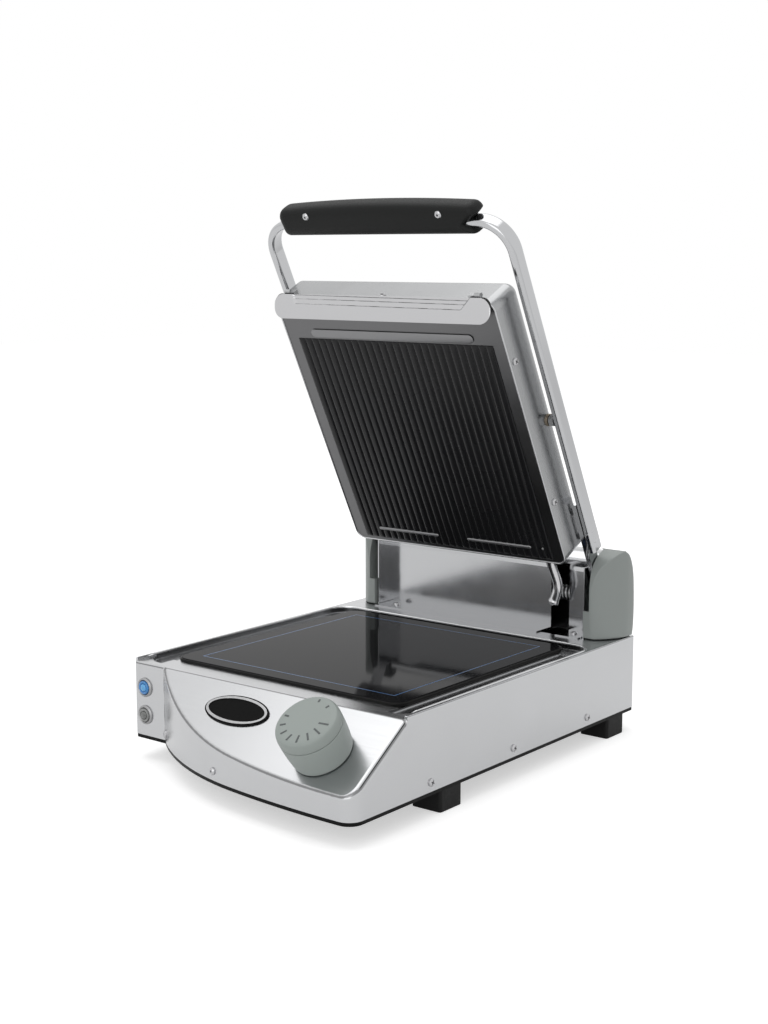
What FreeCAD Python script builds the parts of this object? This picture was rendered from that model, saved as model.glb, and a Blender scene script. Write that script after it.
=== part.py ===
import FreeCAD, Part
import math
import os

os.makedirs("parts", exist_ok=True)
V = FreeCAD.Vector

# ---------------------------------------------------------------- driving sizes, millimetres
# Axes: +X to the right of someone facing the press, +Y to the back, +Z up.
# The origin is on the worktop, under the middle of the press with its lid open.
base_width = 331.0
base_depth = 455.0            # nose to rear wall of the steel body
foot_height = 20.0
foot_side = 32.0
foot_from_panel = 64.5        # front feet's centre, behind the sloped panel's top edge
foot_from_rear = 35.5
pan_lip = 3.5                 # black pan edge seen under the steel
pan_sheet = 1.5
body_height = 74.5            # steel body, from the pan's lip to the rim
sheet = 1.2                   # steel sheet of body, tower and casing
strip_drop = 3.0              # front strip below the rim
gutter_drop = 6.5             # drip gutter below the rim
rim_width = 5.0

nose_depth = 73.5             # sloped panel, from its top edge to the nose
slope_angle = 34.5            # sloped panel, degrees below the horizontal
column_width = 41.0           # lamp column at the left
nose_flat_radius = 910.0
nose_join_x = 20.0            # where the flat arc of the nose meets the rounder one
nose_corner_radius = 14.0
body_corner_radius = 5.0
panel_fillet = 5.0
panel_bend = 4.0              # between the front strip and the sloped panel
column_round = 3.0
rim_round = 1.5
gutter_round = 2.0

glass_side = 270.0            # lower glass plate
glass_thickness = 4.0
glass_corner_radius = 14.0
glass_setback = 27.0          # from the sloped panel's top edge to the glass
seal_thickness = 0.5
seal_width = 8.0
gutter_rear_gap = 11.0        # behind the glass
gutter_front_gap = 18.0       # gutter's front end, ahead of the glass's front edge
gutter_corner_radius = 22.0

hinge_from_rear = 17.5        # hinge axis ahead of the rear wall
hinge_above_rim = 37.5
shaft_radius = 5.0
running_gap = 0.05            # radial, at every running fit
spring_gap = 0.5              # between each balance spring and the shaft
spring_wire = 1.2
spring_room = 0.4             # between each balance spring and the tower's front wall
fit_gap = 0.3                 # between pieces that must not touch
screw_gap = 0.15              # radial, round a screw's shank

bracket_x = 122.0
bracket_thick = 5.0
bush_radius = 7.0
bush_flange_radius = 8.2

tower_half = 132.0
tower_height = 83.5
tower_round = 20.0
flange_depth = 27.0
cable_slot_x = 92.0
cable_slot_width = 22.0
cable_slot_height = 70.0
cheek_depth = 19.0            # tower's side plates, ahead of its front wall
cheek_height = 72.0

cover_inner_x = 133.5
cover_depth = 47.0
cover_height = 92.0
cover_wall = 2.5
cover_plan_round = 22.0
cover_top_round = 23.0
cover_rear_round = 8.0
lever_slot_bottom = 28.5      # above the rim

open_angle = 63.0             # lid as it stands open, above the closed position
arm_x = 143.5                 # centre of each arm
arm_thick = 8.0
arm_wide = 16.0
arm_wall = 1.5
arm_bend_radius = 31.0
arm_start = 62.0              # from the hinge axis to the tube's lower end
bar_reach = 421.0             # from the hinge axis to the cross bar's centre
lever_thick = 5.0
lever_wide = 14.0
lever_reach = 118.0
lever_hub_radius = 11.0

grip_half = 125.0
grip_wide = 32.0
grip_deep = 27.0
grip_centre = 426.0
grip_screw_x = 79.0

casing_half = 132.0
casing_rear = 66.0            # from the hinge axis, lid closed
casing_front = 357.5
casing_below = 36.0           # frame face below the hinge axis, lid closed
casing_corner = 10.0
casing_edge_round = 6.0
frame_sheet = 1.2
skirt_screw_below = 28.8
skirt_screw_reach = (136.0, 292.0)
window_half = 118.0
window_rear = 81.0
window_front = 312.0
window_corner = 3.0
strip_thickness = 0.5          # glass retainers
front_strip_half = 98.0
rear_strip_starts = (-96.0, 18.0)
rear_strip_length = 78.0
ribbed_side = 250.0           # upper glass plate
ribbed_thickness = 4.0
rib_count = 25
rib_height = 2.2
pivot_reach = 213.0           # plate's side pivots, from the hinge axis
pivot_room = 0.5              # between a side pivot and the tube's wall
pivot_clip = 1.5              # spring clip's rim round a side pivot
pivot_radius = 3.5
plate_bush_radius = 4.8

conduit_x = 97.5
conduit_radius = 4.5
conduit_below = 15.0
conduit_bend_radius = 14.0
conduit_bend = 35.0           # degrees
conduit_straight = 28.0

flap_half = 130.0
flap_drop = 24.0              # pivot to lower edge
flap_rise = 3.5               # pivot to upper edge
flap_ear_depth = 4.2          # flap face ahead of the pivots
flap_sheet = 1.2
flap_pivot_reach = 362.0
flap_pivot_below = 32.0
flap_pin_radius = 2.5
flap_pin_x = 108.0
flap_tail_radius = 1.8
flap_notch_half = 100.0        # lower middle stretch of the upper edge

knob_x = 108.5
knob_down = 50.5              # along the slope, from its top edge
knob_height = 39.0
knob_seam = 29.0
knob_base_radius = 28.5
knob_seam_radius = 29.3
knob_face_radius = 26.5
knob_lift = 0.8               # gap between knob and panel
knob_shaft_radius = 3.0

badge_x = -6.5
badge_down = 30.0
badge_half_wide = 37.0
badge_half_high = 16.5
lamp_from_side = 15.5         # lamps' centre, from the body's left side
lamp_heights = (47.5, 20.5)   # above the steel body's lower edge
bezel_radius = 9.3
lens_radius = 6.6

heater_side = 240.0
tray_height = 24.0
coil_passes = 8
coil_radius = 3.2
probe_depth = 6.0             # below the tray's mouth

gland_radius = 8.0
gland_x = -110.0
gland_above_pan = 28.0
gland_length = 9.0            # outside the rear wall
lead_radius = 4.2

screw_radius = 1.9
screw_head_radius = 3.6
screw_head_height = 2.0
body_screw_height = 8.4       # above the steel's lower edge
body_screw_setback = (34.0, 161.0, 290.0)
nose_screw_x = (-117.0, -4.0)
rear_screw_x = 99.3
tower_screw_x = (-112.0, 116.0)
casing_rear_screw_x = (-80.0, 60.0)

# ---------------------------------------------------------------- worked-out places
slope = math.radians(slope_angle)
half_width = base_width / 2
knob_reach = knob_height * math.sin(slope) + knob_face_radius * math.cos(slope)
knob_overhang = max(0.0, knob_down * math.cos(slope) + knob_reach - nose_depth)
rear_y = (base_depth + knob_overhang - gland_length) / 2
nose_y = rear_y - base_depth
panel_top_y = nose_y + nose_depth
pan_z = foot_height
steel_z = pan_z + pan_lip
rim_z = steel_z + body_height
strip_z = rim_z - strip_drop
gutter_z = rim_z - gutter_drop
ledge_z = rim_z - glass_thickness - seal_thickness
glass_front_y = panel_top_y + glass_setback
glass_rear_y = glass_front_y + glass_side
glass_middle_y = (glass_front_y + glass_rear_y) / 2
column_x = -half_width + column_width
hinge_y = rear_y - hinge_from_rear
hinge_z = rim_z + hinge_above_rim
gland_z = steel_z + gland_above_pan
lever_x = cover_inner_x + lever_thick / 2 + 0.7
lamp_x = -half_width + lamp_from_side
tower_depth = hinge_from_rear + shaft_radius + spring_gap + 2 * spring_wire + spring_room + sheet
pivot_below = arm_wide / 2 - arm_wall - pivot_radius - pivot_room
casing_above = pivot_radius + pivot_clip + fit_gap + sheet - pivot_below
casing_top = hinge_z + casing_above
face_z = hinge_z - casing_below
glass_seat_z = face_z + frame_sheet
upper_glass_z = glass_seat_z + seal_thickness
upper_glass_top = upper_glass_z + ribbed_thickness
window_middle = (window_rear + window_front) / 2
outside = 20.0                # how far a cutting tool runs past what it cuts


# ---------------------------------------------------------------- small helpers
def block(x0, x1, y0, y1, z0, z1):
    return Part.makeBox(x1 - x0, y1 - y0, z1 - z0, V(x0, y0, z0))


def rod(radius, start, direction, length):
    return Part.makeCylinder(radius, length, V(*start), V(*direction))


def rounded_outline(x0, x1, y0, y1, radius, z):
    """Closed wire of a rectangle with four equal round corners."""
    corners = ((x1, y1, 0), (x0, y1, 90), (x0, y0, 180), (x1, y0, 270))
    edges = []
    previous = None
    first = None
    for x, y, turn in corners:
        centre = V(x - math.copysign(radius, x - (x0 + x1) / 2), y - math.copysign(radius, y - (y0 + y1) / 2), z)
        points = []
        for part in (0, 45, 90):
            angle = math.radians(turn + part)
            points.append(centre + V(radius * math.cos(angle), radius * math.sin(angle), 0))
        if previous is not None:
            edges.append(Part.LineSegment(previous, points[0]).toShape())
        edges.append(Part.Arc(*points).toShape())
        first = first or points[0]
        previous = points[2]
    edges.append(Part.LineSegment(previous, first).toShape())
    return Part.Wire(edges)


def plate(x0, x1, y0, y1, z0, z1, radius):
    face = Part.Face(rounded_outline(x0, x1, y0, y1, radius, z0))
    return face.extrude(V(0, 0, z1 - z0))


def prism(points, x0, x1):
    """Solid with a polygon in the YZ plane, from x0 to x1."""
    loop = [V(x0, y, z) for y, z in points]
    face = Part.Face(Part.makePolygon(loop + loop[:1]))
    return face.extrude(V(x1 - x0, 0, 0))


def revolved(profile):
    """Solid of revolution about Z from (radius, height) points."""
    loop = [V(radius, 0, height) for radius, height in profile]
    face = Part.Face(Part.makePolygon(loop + loop[:1]))
    return face.revolve(V(0, 0, 0), V(0, 0, 1), 360)


def fuse_all(shapes):
    return shapes[0].multiFuse(shapes[1:]).removeSplitter()


def cut_all(shape, tools):
    return shape.cut(tools)


def group(shapes):
    return Part.makeCompound(shapes)


def rounded_edges(shape, radius, chosen):
    """Fillet the edges for which chosen(edge) is true."""
    return shape.makeFillet(radius, [edge for edge in shape.Edges if chosen(edge)])


def rounding_tool(corner, along, length, inward, down, radius):
    """What to take off a straight edge to round it: a square bar along it, less a rod that touches both faces."""
    square = [(-1, -1), (radius, -1), (radius, radius), (-1, radius), (-1, -1)]
    face = Part.Face(Part.makePolygon([corner + inward * a + down * b for a, b in square]))
    centre = corner + inward * radius + down * radius
    return face.extrude(along * length).cut(rod(radius, centre, along, length))


def on_panel(shape, x, down):
    """Place a shape made about the origin on the sloped panel, its Z along the panel's normal."""
    moved = shape.copy()
    place = V(x, panel_top_y - down * math.cos(slope), strip_z - down * math.sin(slope))
    moved.Placement = FreeCAD.Placement(place, FreeCAD.Rotation(V(1, 0, 0), slope_angle))
    return moved


def opened(shape):
    """Turn a lid piece, modelled closed, to the open rest position."""
    moved = shape.copy()
    moved.rotate(V(0, hinge_y, hinge_z), V(1, 0, 0), -open_angle)
    return moved


def both_sides(make):
    """The piece that make(side) gives, at the right and the left."""
    return [make(1), make(-1)]


def pan_head_screw(length):
    """Screw along -Z from the origin, head on top with a hex socket."""
    head = revolved([(0, 0), (screw_head_radius, 0), (screw_head_radius, 0.9), (2.6, screw_head_height),
                     (0, screw_head_height)])
    socket = Part.Face(Part.makePolygon([V(1.25 * math.cos(a), 1.25 * math.sin(a), 1.0) for a in
                                         [math.radians(60 * n) for n in range(7)]]))
    shank = rod(screw_radius, (0, 0, -length), (0, 0, 1), length)
    return fuse_all([head, shank]).cut(socket.extrude(V(0, 0, screw_head_height)))


def aimed(shape, place, direction):
    """Turn a shape's +Z to a direction and move its origin to a place."""
    moved = shape.copy()
    moved.Placement = FreeCAD.Placement(V(*place), FreeCAD.Rotation(V(0, 0, 1), V(*direction)))
    return moved


# ---------------------------------------------------------------- steel body
def nose_circles():
    """The two tangent circles of the nose: a flat one at the right, a rounder one that runs to the column."""
    flat_x = half_width - nose_corner_radius
    flat_centre = V(flat_x, nose_y + nose_flat_radius, 0)
    join_angle = math.asin((flat_x - nose_join_x) / nose_flat_radius)
    join = on_circle(flat_centre, nose_flat_radius, join_angle)
    chord_angle = math.atan2(panel_top_y - join.y, join.x - column_x)
    end_angle = 2 * chord_angle - join_angle
    radius = (join.x - column_x) / (math.sin(end_angle) - math.sin(join_angle))
    round_centre = join + V(radius * math.sin(join_angle), radius * math.cos(join_angle), 0)
    return (flat_centre, nose_flat_radius, join_angle), (round_centre, radius, end_angle)


def on_circle(centre, radius, lean):
    """Point of a circle's front, lean radians round to the left of its foremost point."""
    return centre - V(radius * math.sin(lean), radius * math.cos(lean), 0)


def nose_arcs():
    """Ends and middles of the two arcs of the nose, from the right corner to the column."""
    (flat_centre, flat_radius, join_angle), (round_centre, radius, end_angle) = nose_circles()
    start = on_circle(flat_centre, flat_radius, 0)
    middle = on_circle(flat_centre, flat_radius, join_angle / 2)
    join = on_circle(flat_centre, flat_radius, join_angle)
    round_middle = on_circle(round_centre, radius, (join_angle + end_angle) / 2)
    return start, middle, join, round_middle, V(column_x, panel_top_y, 0)


def nose_point(x):
    """Y of the nose's rounder arc at x, and how far its face turns to the left there, in radians."""
    centre, radius, _ = nose_circles()[1]
    lean = math.asin((centre.x - x) / radius)
    return on_circle(centre, radius, lean).y, lean


def body_plan(z):
    """Outline of the steel body seen from above, as a face at height z."""
    start, middle, join, round_middle, end = nose_arcs()
    right, left, back = half_width, -half_width, rear_y
    r, c = body_corner_radius, nose_corner_radius
    s = math.sqrt(0.5)
    line = lambda a, b: Part.LineSegment(a, b).toShape()
    arc = lambda a, b, d: Part.Arc(a, b, d).toShape()
    corner = V(right - c, nose_y + c, 0)
    edges = [
        arc(V(right, nose_y + c, 0), corner + V(c * s, -c * s, 0), start),
        arc(start, middle, join),
        arc(join, round_middle, end),
        line(end, V(left + r, panel_top_y, 0)),
        arc(V(left + r, panel_top_y, 0), V(left + r - r * s, panel_top_y + r - r * s, 0), V(left, panel_top_y + r, 0)),
        line(V(left, panel_top_y + r, 0), V(left, back - r, 0)),
        arc(V(left, back - r, 0), V(left + r - r * s, back - r + r * s, 0), V(left + r, back, 0)),
        line(V(left + r, back, 0), V(right - r, back, 0)),
        arc(V(right - r, back, 0), V(right - r + r * s, back - r + r * s, 0), V(right, back - r, 0)),
        line(V(right, back - r, 0), V(right, nose_y + c, 0)),
    ]
    face = Part.Face(Part.Wire(edges))
    face.translate(V(0, 0, z))
    return face


def body_block(inset, z0, z1):
    """Body outline, moved in by inset, as a solid from z0 to z1."""
    face = body_plan(z0)
    if inset:
        face = face.makeOffset2D(-inset, 2)
    return face.extrude(V(0, 0, z1 - z0))


def above_panel(depth):
    """Everything over a plane parallel to the sloped panel and depth below it."""
    y = panel_top_y + depth * math.sin(slope)
    z = strip_z - depth * math.cos(slope)
    run = nose_depth + outside
    low = (y - run, z - run * math.tan(slope))
    return prism([(y, z), low, (low[0], rim_z + outside), (y, rim_z + outside)], column_x - outside, half_width + outside)


def gutter_tool():
    outer_x = half_width - rim_width
    outer = plate(-outer_x, outer_x, glass_front_y - gutter_front_gap, glass_rear_y + gutter_rear_gap, gutter_z,
                  rim_z + outside, gutter_corner_radius)
    island_x = glass_side / 2 + 1.5
    island = plate(-island_x, island_x, glass_front_y - 1.5, glass_rear_y + 1.5, gutter_z, ledge_z,
                   glass_corner_radius + 1.5)
    front = block(-island_x, island_x, panel_top_y, glass_front_y - 1.5 + glass_corner_radius, gutter_z, ledge_z)
    strip = block(-island_x, island_x, panel_top_y, glass_front_y - 1.5, gutter_z, strip_z)
    return outer.cut([island, front, strip])


def base_shell():
    """Pressed steel body: side walls, nose, sloped panel, lamp column, deck with gutter and glass ledge."""
    outer = body_block(0, steel_z, rim_z)
    strip_tool = block(-half_width + 3, half_width - 3, nose_y - outside, glass_front_y - 1.5, strip_z, rim_z + outside)
    column_tool = block(-half_width - 1, column_x, nose_y, panel_top_y + 3, strip_z, rim_z + outside)
    nose_tool = block(column_x - 1, half_width + 1, nose_y - outside, panel_top_y, strip_z, rim_z + outside)
    panel_tool = above_panel(0).common(block(column_x, half_width + outside, nose_y - outside, panel_top_y, 0, 200))
    outer = outer.cut([nose_tool, panel_tool])
    outer = rounded_edges(outer, panel_fillet, is_nose_edge)
    outer = rounded_edges(outer, panel_bend, is_panel_bend)
    outer = rounded_edges(outer, rim_round, is_outer_rim)
    outer = outer.cut([column_tool, strip_tool, gutter_tool()] + front_rounds())
    outer = rounded_edges(outer, gutter_round, is_gutter_rim)
    cavity = body_block(sheet, steel_z - 1, gutter_z - sheet)
    rear_room = block(-half_width + rim_width, half_width - rim_width, glass_rear_y + gutter_rear_gap + sheet,
                      rear_y - sheet, gutter_z - 5, rim_z - sheet)
    front_room = body_block(sheet, gutter_z - 5, strip_z - sheet)
    front_limit = glass_front_y - gutter_front_gap - sheet
    front_room = front_room.common(fuse_all([
        block(-half_width, half_width, nose_y, front_limit, 0, rim_z),
        block(-glass_side / 2, glass_side / 2, nose_y, glass_front_y - 4, 0, rim_z)]))
    room = fuse_all([cavity, rear_room, front_room]).cut(above_panel(sheet).common(
        block(column_x + sheet, half_width + outside, nose_y - outside, panel_top_y + 5, 0, 200)))
    hole_half = glass_side / 2 - seal_width
    glass_hole = block(-hole_half, hole_half, glass_front_y + seal_width, glass_rear_y - seal_width, 50, rim_z + 1)
    tower_front = rear_y - tower_depth
    cable_hole = block(cable_slot_x - cable_slot_width / 2, cable_slot_x + cable_slot_width / 2, tower_front - 22,
                       tower_front + 10, gutter_z, rim_z + 1)
    return outer.cut([room, glass_hole, cable_hole] + body_holes())


def is_nose_edge(edge):
    """True for the edges where the sloped panel meets the nose's upright wall."""
    return isinstance(edge.Curve, Part.Ellipse)


def is_level_edge(edge, z):
    return abs(edge.BoundBox.ZMin - z) < 0.01 and abs(edge.BoundBox.ZMax - z) < 0.01


def is_panel_bend(edge):
    """True for the edges between the front strip's level and the sloped panel."""
    box = edge.BoundBox
    return is_level_edge(edge, strip_z) and abs(box.YMin - panel_top_y) < 0.01 and abs(box.YMax - panel_top_y) < 0.01


def is_outer_rim(edge):
    """True for the rim's edges along the body's sides, rear and rear corners."""
    box = edge.BoundBox
    side = box.XMax < -half_width + 0.01 or box.XMin > half_width - 0.01
    return is_level_edge(edge, rim_z) and (side or box.YMin > rear_y - body_corner_radius - 0.01)


def is_gutter_rim(edge):
    """True for the rim's edges along the gutter."""
    box = edge.BoundBox
    edge_x = half_width - rim_width + 0.01
    inside = box.XMin > -edge_x and box.XMax < edge_x and box.YMax < glass_rear_y + gutter_rear_gap + 0.01
    return is_level_edge(edge, rim_z) and inside and box.YMin > glass_front_y - 1.6


def front_rounds():
    """Cuts that round the column's top and the sloped panel's right side."""
    x, y, up = V(1, 0, 0), V(0, 1, 0), V(0, 0, 1)
    down_slope = V(0, -math.cos(slope), -math.sin(slope))
    under_slope = V(0, math.sin(slope), -math.cos(slope))
    return [
        rounding_tool(V(-half_width - 1, panel_top_y, strip_z), x, column_width + 1, y, -up, column_round),
        rounding_tool(V(-half_width, panel_top_y - 1, strip_z), y, 4, x, -up, column_round),
        rounding_tool(V(half_width, panel_top_y, strip_z), down_slope, nose_depth + outside, -x, under_slope, rim_round),
    ]


def body_screw_places():
    """Places and outward directions of the screws that hold the body to the pan."""
    z = steel_z + body_screw_height
    places = []
    for setback in body_screw_setback:
        for side in (1, -1):
            places.append(((side * half_width, panel_top_y + setback, z), (side, 0, 0)))
    for side in (1, -1):
        places.append(((side * rear_screw_x, rear_y, z), (0, 1, 0)))
    for x in nose_screw_x:
        y, lean = nose_point(x)
        places.append(((x, y, z), (-math.sin(lean), -math.cos(lean), 0)))
    return places


def body_holes():
    """Holes through the steel for screws, lamps, knob shaft and cable gland."""
    holes = [aimed(rod(screw_radius + screw_gap, (0, 0, -8), (0, 0, 1), 16), *at) for at in body_screw_places()]
    for height in lamp_heights:
        holes.append(rod(lens_radius, (lamp_x, panel_top_y - 2, steel_z + height), (0, 1, 0), 10))
    holes.append(on_panel(rod(knob_shaft_radius + 2, (0, 0, -5), (0, 0, 1), 10), knob_x, knob_down))
    holes.append(rod(gland_radius, (gland_x, rear_y - 5, gland_z), (0, 1, 0), 10))
    return holes


# ---------------------------------------------------------------- pan and feet
def foot_places():
    reach_x = half_width - foot_side / 2 - 0.5
    return {
        "foot_front_left": (-reach_x, panel_top_y + foot_from_panel),
        "foot_front_right": (reach_x, panel_top_y + foot_from_panel),
        "foot_rear_left": (-reach_x, rear_y - foot_from_rear),
        "foot_rear_right": (reach_x, rear_y - foot_from_rear),
    }


def bottom_pan():
    """Black pan: floor, visible lip and an upright flange inside the steel that takes the body screws."""
    lip_inset = 0.4
    flange_inset = sheet + 0.2
    floor = body_block(lip_inset, pan_z, steel_z)
    room = body_block(flange_inset + sheet, pan_z + pan_sheet, steel_z + 20)
    flange = body_block(flange_inset, steel_z - 1, steel_z + 15)
    pan = fuse_all([floor, flange]).cut(room)
    holes = [aimed(rod(screw_radius + screw_gap, (0, 0, -8), (0, 0, 1), 16), *at) for at in body_screw_places()]
    for x, y in foot_places().values():
        holes.append(rod(screw_radius + screw_gap, (x, y, pan_z - 1), (0, 0, 1), 5))
    notches = [rod(lens_radius + 3, (lamp_x, panel_top_y, steel_z + h), (0, 1, 0), 10) for h in lamp_heights]
    vents = [plate(x - 2.5, x + 2.5, glass_middle_y - 40, glass_middle_y + 40, pan_z - 1, pan_z + 3, 2.4)
             for x in range(-48, 49, 12)]
    return pan.cut(holes + notches + vents)


def foot(x, y):
    half = foot_side / 2
    pad = plate(x - half, x + half, y - half, y + half, 0, foot_height, 3)
    pad = rounded_edges(pad, 1.0, lambda e: e.BoundBox.ZMax < 0.01)
    well = rod(screw_head_radius + 0.6, (x, y, -1), (0, 0, 1), 11)
    hole = rod(screw_radius + screw_gap, (x, y, 0), (0, 0, 1), foot_height + 1)
    return pad.cut([well, hole])


def foot_screws():
    screws = []
    for x, y in foot_places().values():
        screws.append(aimed(pan_head_screw(foot_height - 10 + 5), (x, y, 10), (0, 0, -1)))
    return group(screws)


# ---------------------------------------------------------------- glass plates and heaters
def lower_glass():
    half = glass_side / 2
    glass = plate(-half, half, glass_front_y, glass_rear_y, ledge_z + seal_thickness, rim_z, glass_corner_radius)
    return rounded_edges(glass, 0.8, lambda e: e.BoundBox.ZMin > rim_z - 0.01)


def ring_plate(half_x, y0, y1, z0, z1, width, radius):
    outer = plate(-half_x, half_x, y0, y1, z0, z1, radius)
    return outer.cut(block(-half_x + width, half_x - width, y0 + width, y1 - width, z0 - 1, z1 + 1))


def lower_seal():
    return ring_plate(glass_side / 2, glass_front_y, glass_rear_y, ledge_z, ledge_z + seal_thickness, seal_width,
                      glass_corner_radius)


def heater_tray(middle_y, mouth_z, up, bar_end_z):
    """Square dish on two welded channels, open towards the glass. up is 1 with the mouth at the top, else -1."""
    half = heater_side / 2
    low, high = sorted((mouth_z, mouth_z - up * tray_height))
    dish = plate(-half, half, middle_y - half, middle_y + half, low, high, 8)
    inner_low, inner_high = (low + 1, high + 1) if up > 0 else (low - 1, high - 1)
    room = plate(-half + 1, half - 1, middle_y - half + 1, middle_y + half - 1, inner_low, inner_high, 7)
    probe_hole = rod(2.0 + screw_gap, (30, middle_y - half - 5, mouth_z - up * probe_depth), (0, 1, 0), 10)
    leads = [rod(coil_radius + screw_gap, (x, middle_y - half - 5, coil_z(mouth_z, up)), (0, 1, 0), 10)
             for x in coil_ends()]
    bars = heater_bars(middle_y, *sorted((mouth_z - up * tray_height, bar_end_z)))
    return fuse_all([dish] + bars).cut([room, probe_hole] + leads)


def coil_z(mouth_z, up):
    return mouth_z - up * (tray_height - 1 - 10 - coil_radius)


def coil_ends():
    half = heater_side / 2 - 22
    return (-half, half)


def insulation(middle_y, mouth_z, up):
    """Mineral slab on the tray's floor."""
    half = heater_side / 2 - 1.5
    floor = mouth_z - up * (tray_height - 1)
    low, high = sorted((floor, floor + up * 10))
    return plate(-half, half, middle_y - half, middle_y + half, low, high, 6)


def heating_coil(middle_y, mouth_z, up):
    """Serpentine tube: straight passes joined by half circles, both ends out through the tray's front."""
    z = coil_z(mouth_z, up)
    left, right = coil_ends()
    step = (right - left) / (coil_passes - 1)
    reach = heater_side / 2 - 20 - step / 2
    front_y, back_y = middle_y - reach, middle_y + reach
    edges = []
    for index in range(coil_passes):
        x = left + index * step
        away = index % 2 == 0
        first = middle_y - heater_side / 2 - 6 if index == 0 else (front_y if away else back_y)
        last = middle_y - heater_side / 2 - 6 if index == coil_passes - 1 else (back_y if away else front_y)
        edges.append(Part.LineSegment(V(x, first, z), V(x, last, z)).toShape())
        if index < coil_passes - 1:
            bulge = step / 2 if away else -step / 2
            edges.append(Part.Arc(V(x, last, z), V(x + step / 2, last + bulge, z), V(x + step, last, z)).toShape())
    path = Part.Wire(edges)
    start = V(left, middle_y - heater_side / 2 - 6, z)
    section = Part.Wire([Part.Circle(start, V(0, 1, 0), coil_radius).toShape()])
    return path.makePipeShell([section], True, True)


def probe(middle_y, mouth_z, up):
    """Thermostat bulb lying across the tray, held in the hole of its front wall."""
    return rod(2.0, (30, middle_y - heater_side / 2 - 8, mouth_z - up * probe_depth), (0, 1, 0), 110)


def heater_bars(middle_y, z0, z1):
    """Two channels that carry a tray."""
    bars = []
    for y in (middle_y - 75, middle_y + 75):
        bar = block(-heater_side / 2 + 20, heater_side / 2 - 20, y - 12, y + 12, z0, z1)
        room = block(-heater_side / 2, heater_side / 2, y - 10.5, y + 10.5, z0 + 1.5, z1 - 1.5)
        bars.append(bar.cut(room))
    return bars


# ---------------------------------------------------------------- panel: knob, thermostat, lamps, badge
def knob_body():
    """Tall round knob, slightly wider at the seam under its dial cap."""
    low = knob_lift
    body = revolved([(0, low), (knob_base_radius - 1, low), (knob_base_radius, low + 1),
                     (knob_seam_radius, knob_seam - 0.4), (0, knob_seam - 0.4)])
    bore = rod(knob_shaft_radius, (0, 0, 0), (0, 0, 1), 18)
    room = rod(knob_shaft_radius + 9, (0, 0, 0), (0, 0, 1), 6)
    return on_panel(body.cut([bore, room]), knob_x, knob_down)


def knob_cap():
    """Dial cap: rounded shoulder and flat face."""
    cap = revolved([(0, knob_seam - 0.4), (knob_seam_radius - 0.8, knob_seam - 0.4), (knob_seam_radius - 0.8, knob_seam),
                    (knob_seam_radius, knob_seam + 0.5), (knob_seam_radius - 0.5, knob_height - 5),
                    (knob_seam_radius - 1.3, knob_height - 2), (knob_face_radius, knob_height), (0, knob_height)])
    return on_panel(cap, knob_x, knob_down)


def thermostat_shaft():
    return on_panel(rod(knob_shaft_radius, (0, 0, -12), (0, 0, 1), 30), knob_x, knob_down)


def thermostat_body():
    """Switch block screwed to the back of the sloped panel."""
    block_solid = block(-19, 19, -17, 17, -sheet - 26, -sheet)
    neck = rod(knob_shaft_radius + running_gap, (0, 0, -14), (0, 0, 1), 20)
    return on_panel(block_solid.cut(neck), knob_x, knob_down)


def lamp_bezel(height):
    """Chromed ring on the column's front."""
    ring = revolved([(lens_radius + 0.2, 0), (bezel_radius, 0), (bezel_radius, 1.0), (bezel_radius - 1.2, 2.2),
                     (lens_radius + 1.0, 2.2), (lens_radius + 0.2, 1.4)])
    return aimed(ring, (lamp_x, panel_top_y, steel_z + height), (0, -1, 0))


def lamp_lens(height):
    """Domed lens with a stem through the column."""
    lens = revolved([(0, -6), (lens_radius - 0.2, -6), (lens_radius - 0.2, 2.6), (lens_radius - 1.0, 3.6),
                     (lens_radius - 3.0, 4.2), (0, 4.4)])
    return aimed(lens, (lamp_x, panel_top_y, steel_z + height), (0, -1, 0))


def lamp_holder(height):
    """Lamp body behind the column, tight against the steel."""
    body = revolved([(lens_radius, -sheet), (bezel_radius, -sheet), (bezel_radius, -6), (lens_radius + 1, -6),
                     (lens_radius + 1, -24), (0, -24), (0, -6.1), (lens_radius, -6.1)])
    return aimed(body, (lamp_x, panel_top_y, steel_z + height), (0, -1, 0))


def oval(half_wide, half_high, z0, z1):
    edge = Part.Ellipse(V(0, 0, z0), half_wide, half_high).toShape()
    return Part.Face(Part.Wire([edge])).extrude(V(0, 0, z1 - z0))


def badge_plate():
    return on_panel(oval(badge_half_wide, badge_half_high, 0, 1.2), badge_x, badge_down)


def badge_ring():
    outer = oval(badge_half_wide - 1.6, badge_half_high - 1.6, 1.2, 1.9)
    inner = oval(badge_half_wide - 4.2, badge_half_high - 4.2, 1.0, 2.5)
    return on_panel(outer.cut(inner), badge_x, badge_down)


# ---------------------------------------------------------------- electrics at the rear
def cable_gland():
    """Flanged gland through the rear wall, bored for a supply lead."""
    gland = revolved([(lead_radius, -10), (gland_radius - 0.2, -10), (gland_radius - 0.2, 0), (12, 0), (12, 3),
                      (9.5, gland_length), (lead_radius, gland_length)])
    return aimed(gland, (gland_x, rear_y, gland_z), (0, 1, 0))


def gland_nut():
    nut = revolved([(gland_radius, -sheet - 4), (12.5, -sheet - 4), (12.5, -sheet), (gland_radius, -sheet)])
    return aimed(nut, (gland_x, rear_y, gland_z), (0, 1, 0))


def terminal_block():
    body = block(gland_x - 25, gland_x + 25, rear_y - 55, rear_y - 35, pan_z + pan_sheet, pan_z + 22)
    holes = [rod(2.5, (gland_x - 17 + 8.5 * n, rear_y - 60, pan_z + 14), (0, 1, 0), 30) for n in range(5)]
    return body.cut(holes)


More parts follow.
